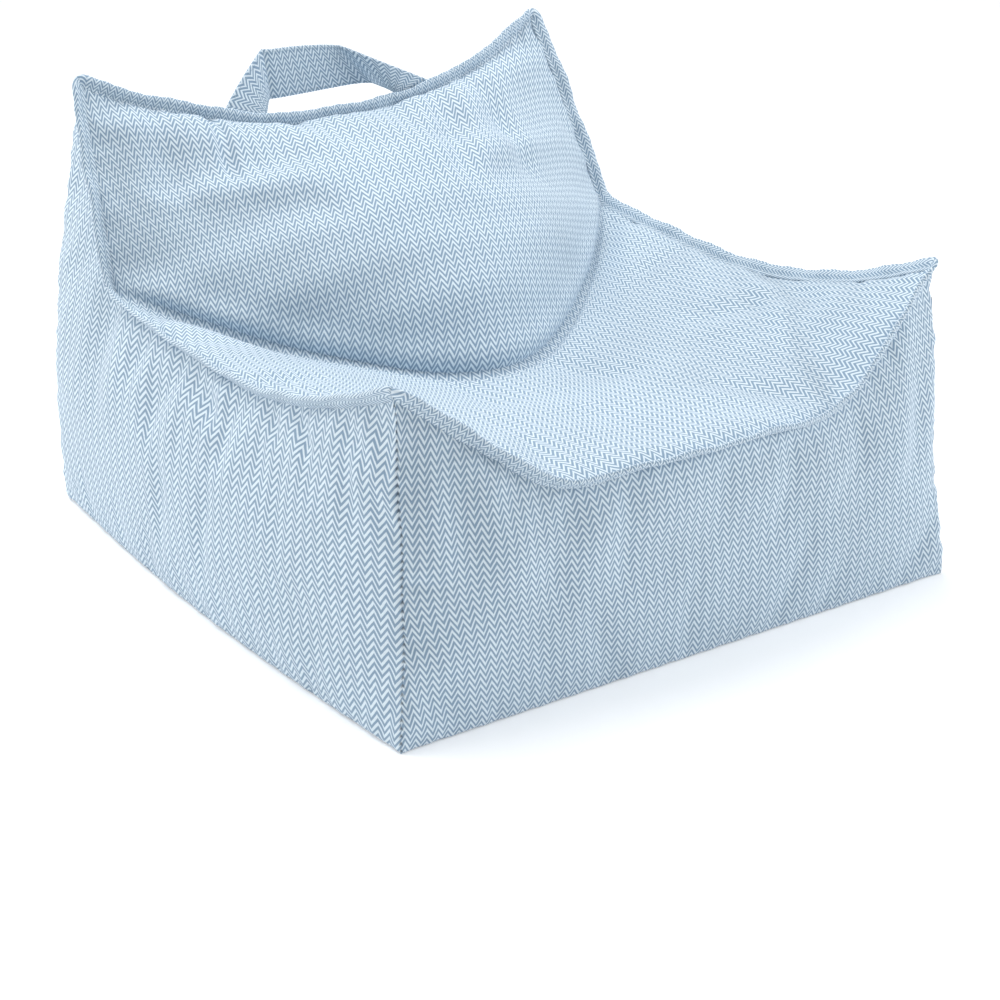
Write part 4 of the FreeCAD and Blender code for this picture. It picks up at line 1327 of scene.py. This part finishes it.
# a row of stitches beside the window, above and below the zipper
frames = []
for label, sign in (("rear_lower_panel", -1), ("rear_upper_panel", 1)):
    points, _, _ = REAR_PARTS[label]
    rim_points = points[:, -1] if sign < 0 else points[:, 0]
    inner_line = points[:, -6] if sign < 0 else points[:, 5]
    across_line = np.flatnonzero(np.abs(inner_line[:, 0]) < 224 * MM)
    line = inner_line[across_line]
    run = lengths(line)
    at = np.arange(2 * MM, run[-1], 3.9 * MM)
    spot = np.stack([np.interp(at, run, line[:, c]) for c in range(3)], axis=1) + vec(0, 0.25, 0) * MM
    axes = np.repeat([[[1, 0, 0], [0, 1, 0], [0, 0, 1]]], len(spot), axis=0)
    frames.append(np.concatenate([spot[:, None], axes], axis=1))
body, body_faces = capsule(2.9 * MM, 0.33 * MM)
place("zip_window_stitches", scattered("zip_window_stitches", body, body_faces, np.concatenate(frames)),
      THREAD)

# ---------------------------------------------------------------------------------------------
# Liner and fill, inside the cover
# ---------------------------------------------------------------------------------------------
def dents():
    """How far the finished cover is pressed in near each place of the coarse form."""
    points, _, back = welded(COARSE_GRIDS)
    deepest, start = np.zeros(len(points)), 0
    for name in NETS:
        change = ((SHAPE[name] - REST[name]) * NORMALS[name]).sum(2)
        for _ in range(4):
            wide = np.pad(change, 1, mode="edge")
            change = np.min([wide[1:-1, 1:-1], wide[2:, 1:-1], wide[:-2, 1:-1], wide[1:-1, 2:],
                             wide[1:-1, :-2]], axis=0)
        rows, columns = (np.abs(FINE[way][:, None] - COARSE[way][None]).argmin(0) for way in DIRECTIONS[name])
        picked = change[np.ix_(rows, columns)].ravel()
        np.minimum.at(deepest, back[start : start + len(picked)], picked)
        start += len(picked)
    return deepest


DENTS = dents()


def inside(name, depth, crinkle):
    """The closed form moved inwards, with fine crinkles, clear of the cover's folds and sharp corners."""
    points, quads, _ = welded(COARSE_GRIDS)
    pull = np.zeros(points.shape)
    for side in (-1, 1):
        for corner in (RIM[0], RIM[-1]):
            tip = flipped(side, corner) * MM
            near = np.clip(1 - np.linalg.norm(points - tip, axis=1) / (75 * MM), 0, 1)
            pull += unit(vec(-0.25 * tip[0], max(0, -0.25 * tip[1]), -0.3)) * (near * 32 * MM)[:, None]
    mesh = make_mesh(name, points, quads)
    way = np.empty(len(points) * 3, np.float32)
    mesh.vertices.foreach_get("normal", way)
    way = way.reshape(-1, 3)
    ripple = sum(np.sin(points @ (number * 3) + phase) for number, phase, _ in WAVES) / len(WAVES)
    points = points + pull - way * (depth + crinkle * ripple - DENTS)[:, None]
    points[:, 2] = np.maximum(points[:, 2], depth * 0.8)
    mesh.vertices.foreach_set("co", points.astype(np.float32).ravel())
    mesh.update()
    return mesh


place("liner_bag", inside("liner_bag", 8.5 * MM, 0.6 * MM), LINER, slot="liner_fabric",
      replaces=["inner_liner"], pad=0.8)
place("bead_filling", inside("bead_filling", 11.5 * MM, 0.4 * MM), BEADS, slot="beads",
      replaces=["bead_fill"], pad=0.8)


def repaint(node, material):
    thing = bpy.data.objects[node]
    thing.data.materials.clear()
    thing.data.materials.append(material)


for node in ("zip_start_stop", "zip_end_stop", "liner_zip_start_stop", "liner_zip_end_stop",
             "liner_zip_slider"):
    repaint(node, NICKEL)
for node in ("liner_zip_rear_tape", "liner_zip_front_tape"):
    repaint(node, TAPE_FLAT)
for node in ("liner_zip_rear_chain", "liner_zip_front_chain"):
    repaint(node, COIL)

# ---------------------------------------------------------------------------------------------
# Floor, light and camera
# ---------------------------------------------------------------------------------------------
def floor():
    g = Graph("studio_floor")
    speckle = g.noise(g.place(), 60, 2.0)
    material = g.finish(g.mix(speckle, (0.9, 0.9, 0.9, 1), (0.92, 0.92, 0.92, 1)), None, 0.9)
    shader = next(n for n in material.node_tree.nodes if n.type == "BSDF_PRINCIPLED")
    shader.inputs["Emission Color"].default_value = (1, 1, 1, 1)
    shader.inputs["Emission Strength"].default_value = 0.25
    points = [(-9, -9, -0.0004), (9, -9, -0.0004), (9, 9, -0.0004), (-9, 9, -0.0004)]
    thing = bpy.data.objects.new("studio_floor", make_mesh("studio_floor", np.array(points), [(0, 1, 2, 3)]))
    thing.data.materials.append(material)
    bpy.context.scene.collection.objects.link(thing)


def softbox(name, location, target, size, energy, colour=(1, 1, 1)):
    lamp = bpy.data.lights.new(name, "AREA")
    lamp.shape, lamp.size, lamp.energy, lamp.color = "DISK", size, energy, colour
    thing = bpy.data.objects.new(name, lamp)
    thing.location = location
    thing.rotation_euler = (Vector(target) - Vector(location)).to_track_quat("-Z", "Y").to_euler()
    bpy.context.scene.collection.objects.link(thing)


def studio():
    world = bpy.data.worlds.new("studio_world")
    world.use_nodes = True
    world.node_tree.nodes["Background"].inputs["Color"].default_value = (0.93, 0.965, 1.0, 1)
    world.node_tree.nodes["Background"].inputs["Strength"].default_value = 0.54
    bpy.context.scene.world = world
    softbox("overhead", (-0.3, 0.7, 2.6), (0, 0, 0.2), 2.2, 54, (1.0, 0.99, 0.97))
    softbox("left", (-2.3, 2.1, 1.2), (-0.1, 0.1, 0.15), 1.3, 26, (1.0, 1.0, 1.0))
    softbox("right_front", (2.9, -1.4, 1.5), (0.15, 0, 0.2), 1.5, 50, (0.96, 0.98, 1.0))
    bpy.context.scene.view_settings.view_transform = "Standard"


def camera():
    data = bpy.data.cameras.new("camera")
    data.lens, data.sensor_width = 88.2, 36
    data.clip_start, data.clip_end = 0.05, 60
    thing = bpy.data.objects.new("camera", data)
    azimuth, elevation, roll = -0.625, 0.405, 0.008
    back = Vector((math.sin(azimuth) * math.cos(elevation), -math.cos(azimuth) * math.cos(elevation),
                   math.sin(elevation)))
    right = Vector((math.cos(azimuth), math.sin(azimuth), 0))
    up = back.cross(right)
    tilted_right = right * math.cos(roll) + up * math.sin(roll)
    tilted_up = up * math.cos(roll) - right * math.sin(roll)
    turned = Matrix((tilted_right, tilted_up, back)).transposed()
    thing.matrix_world = Matrix.Translation((-1.286, -1.812, 0.991)) @ turned.to_4x4()
    bpy.context.scene.collection.objects.link(thing)
    bpy.context.scene.camera = thing


floor()
studio()
camera()
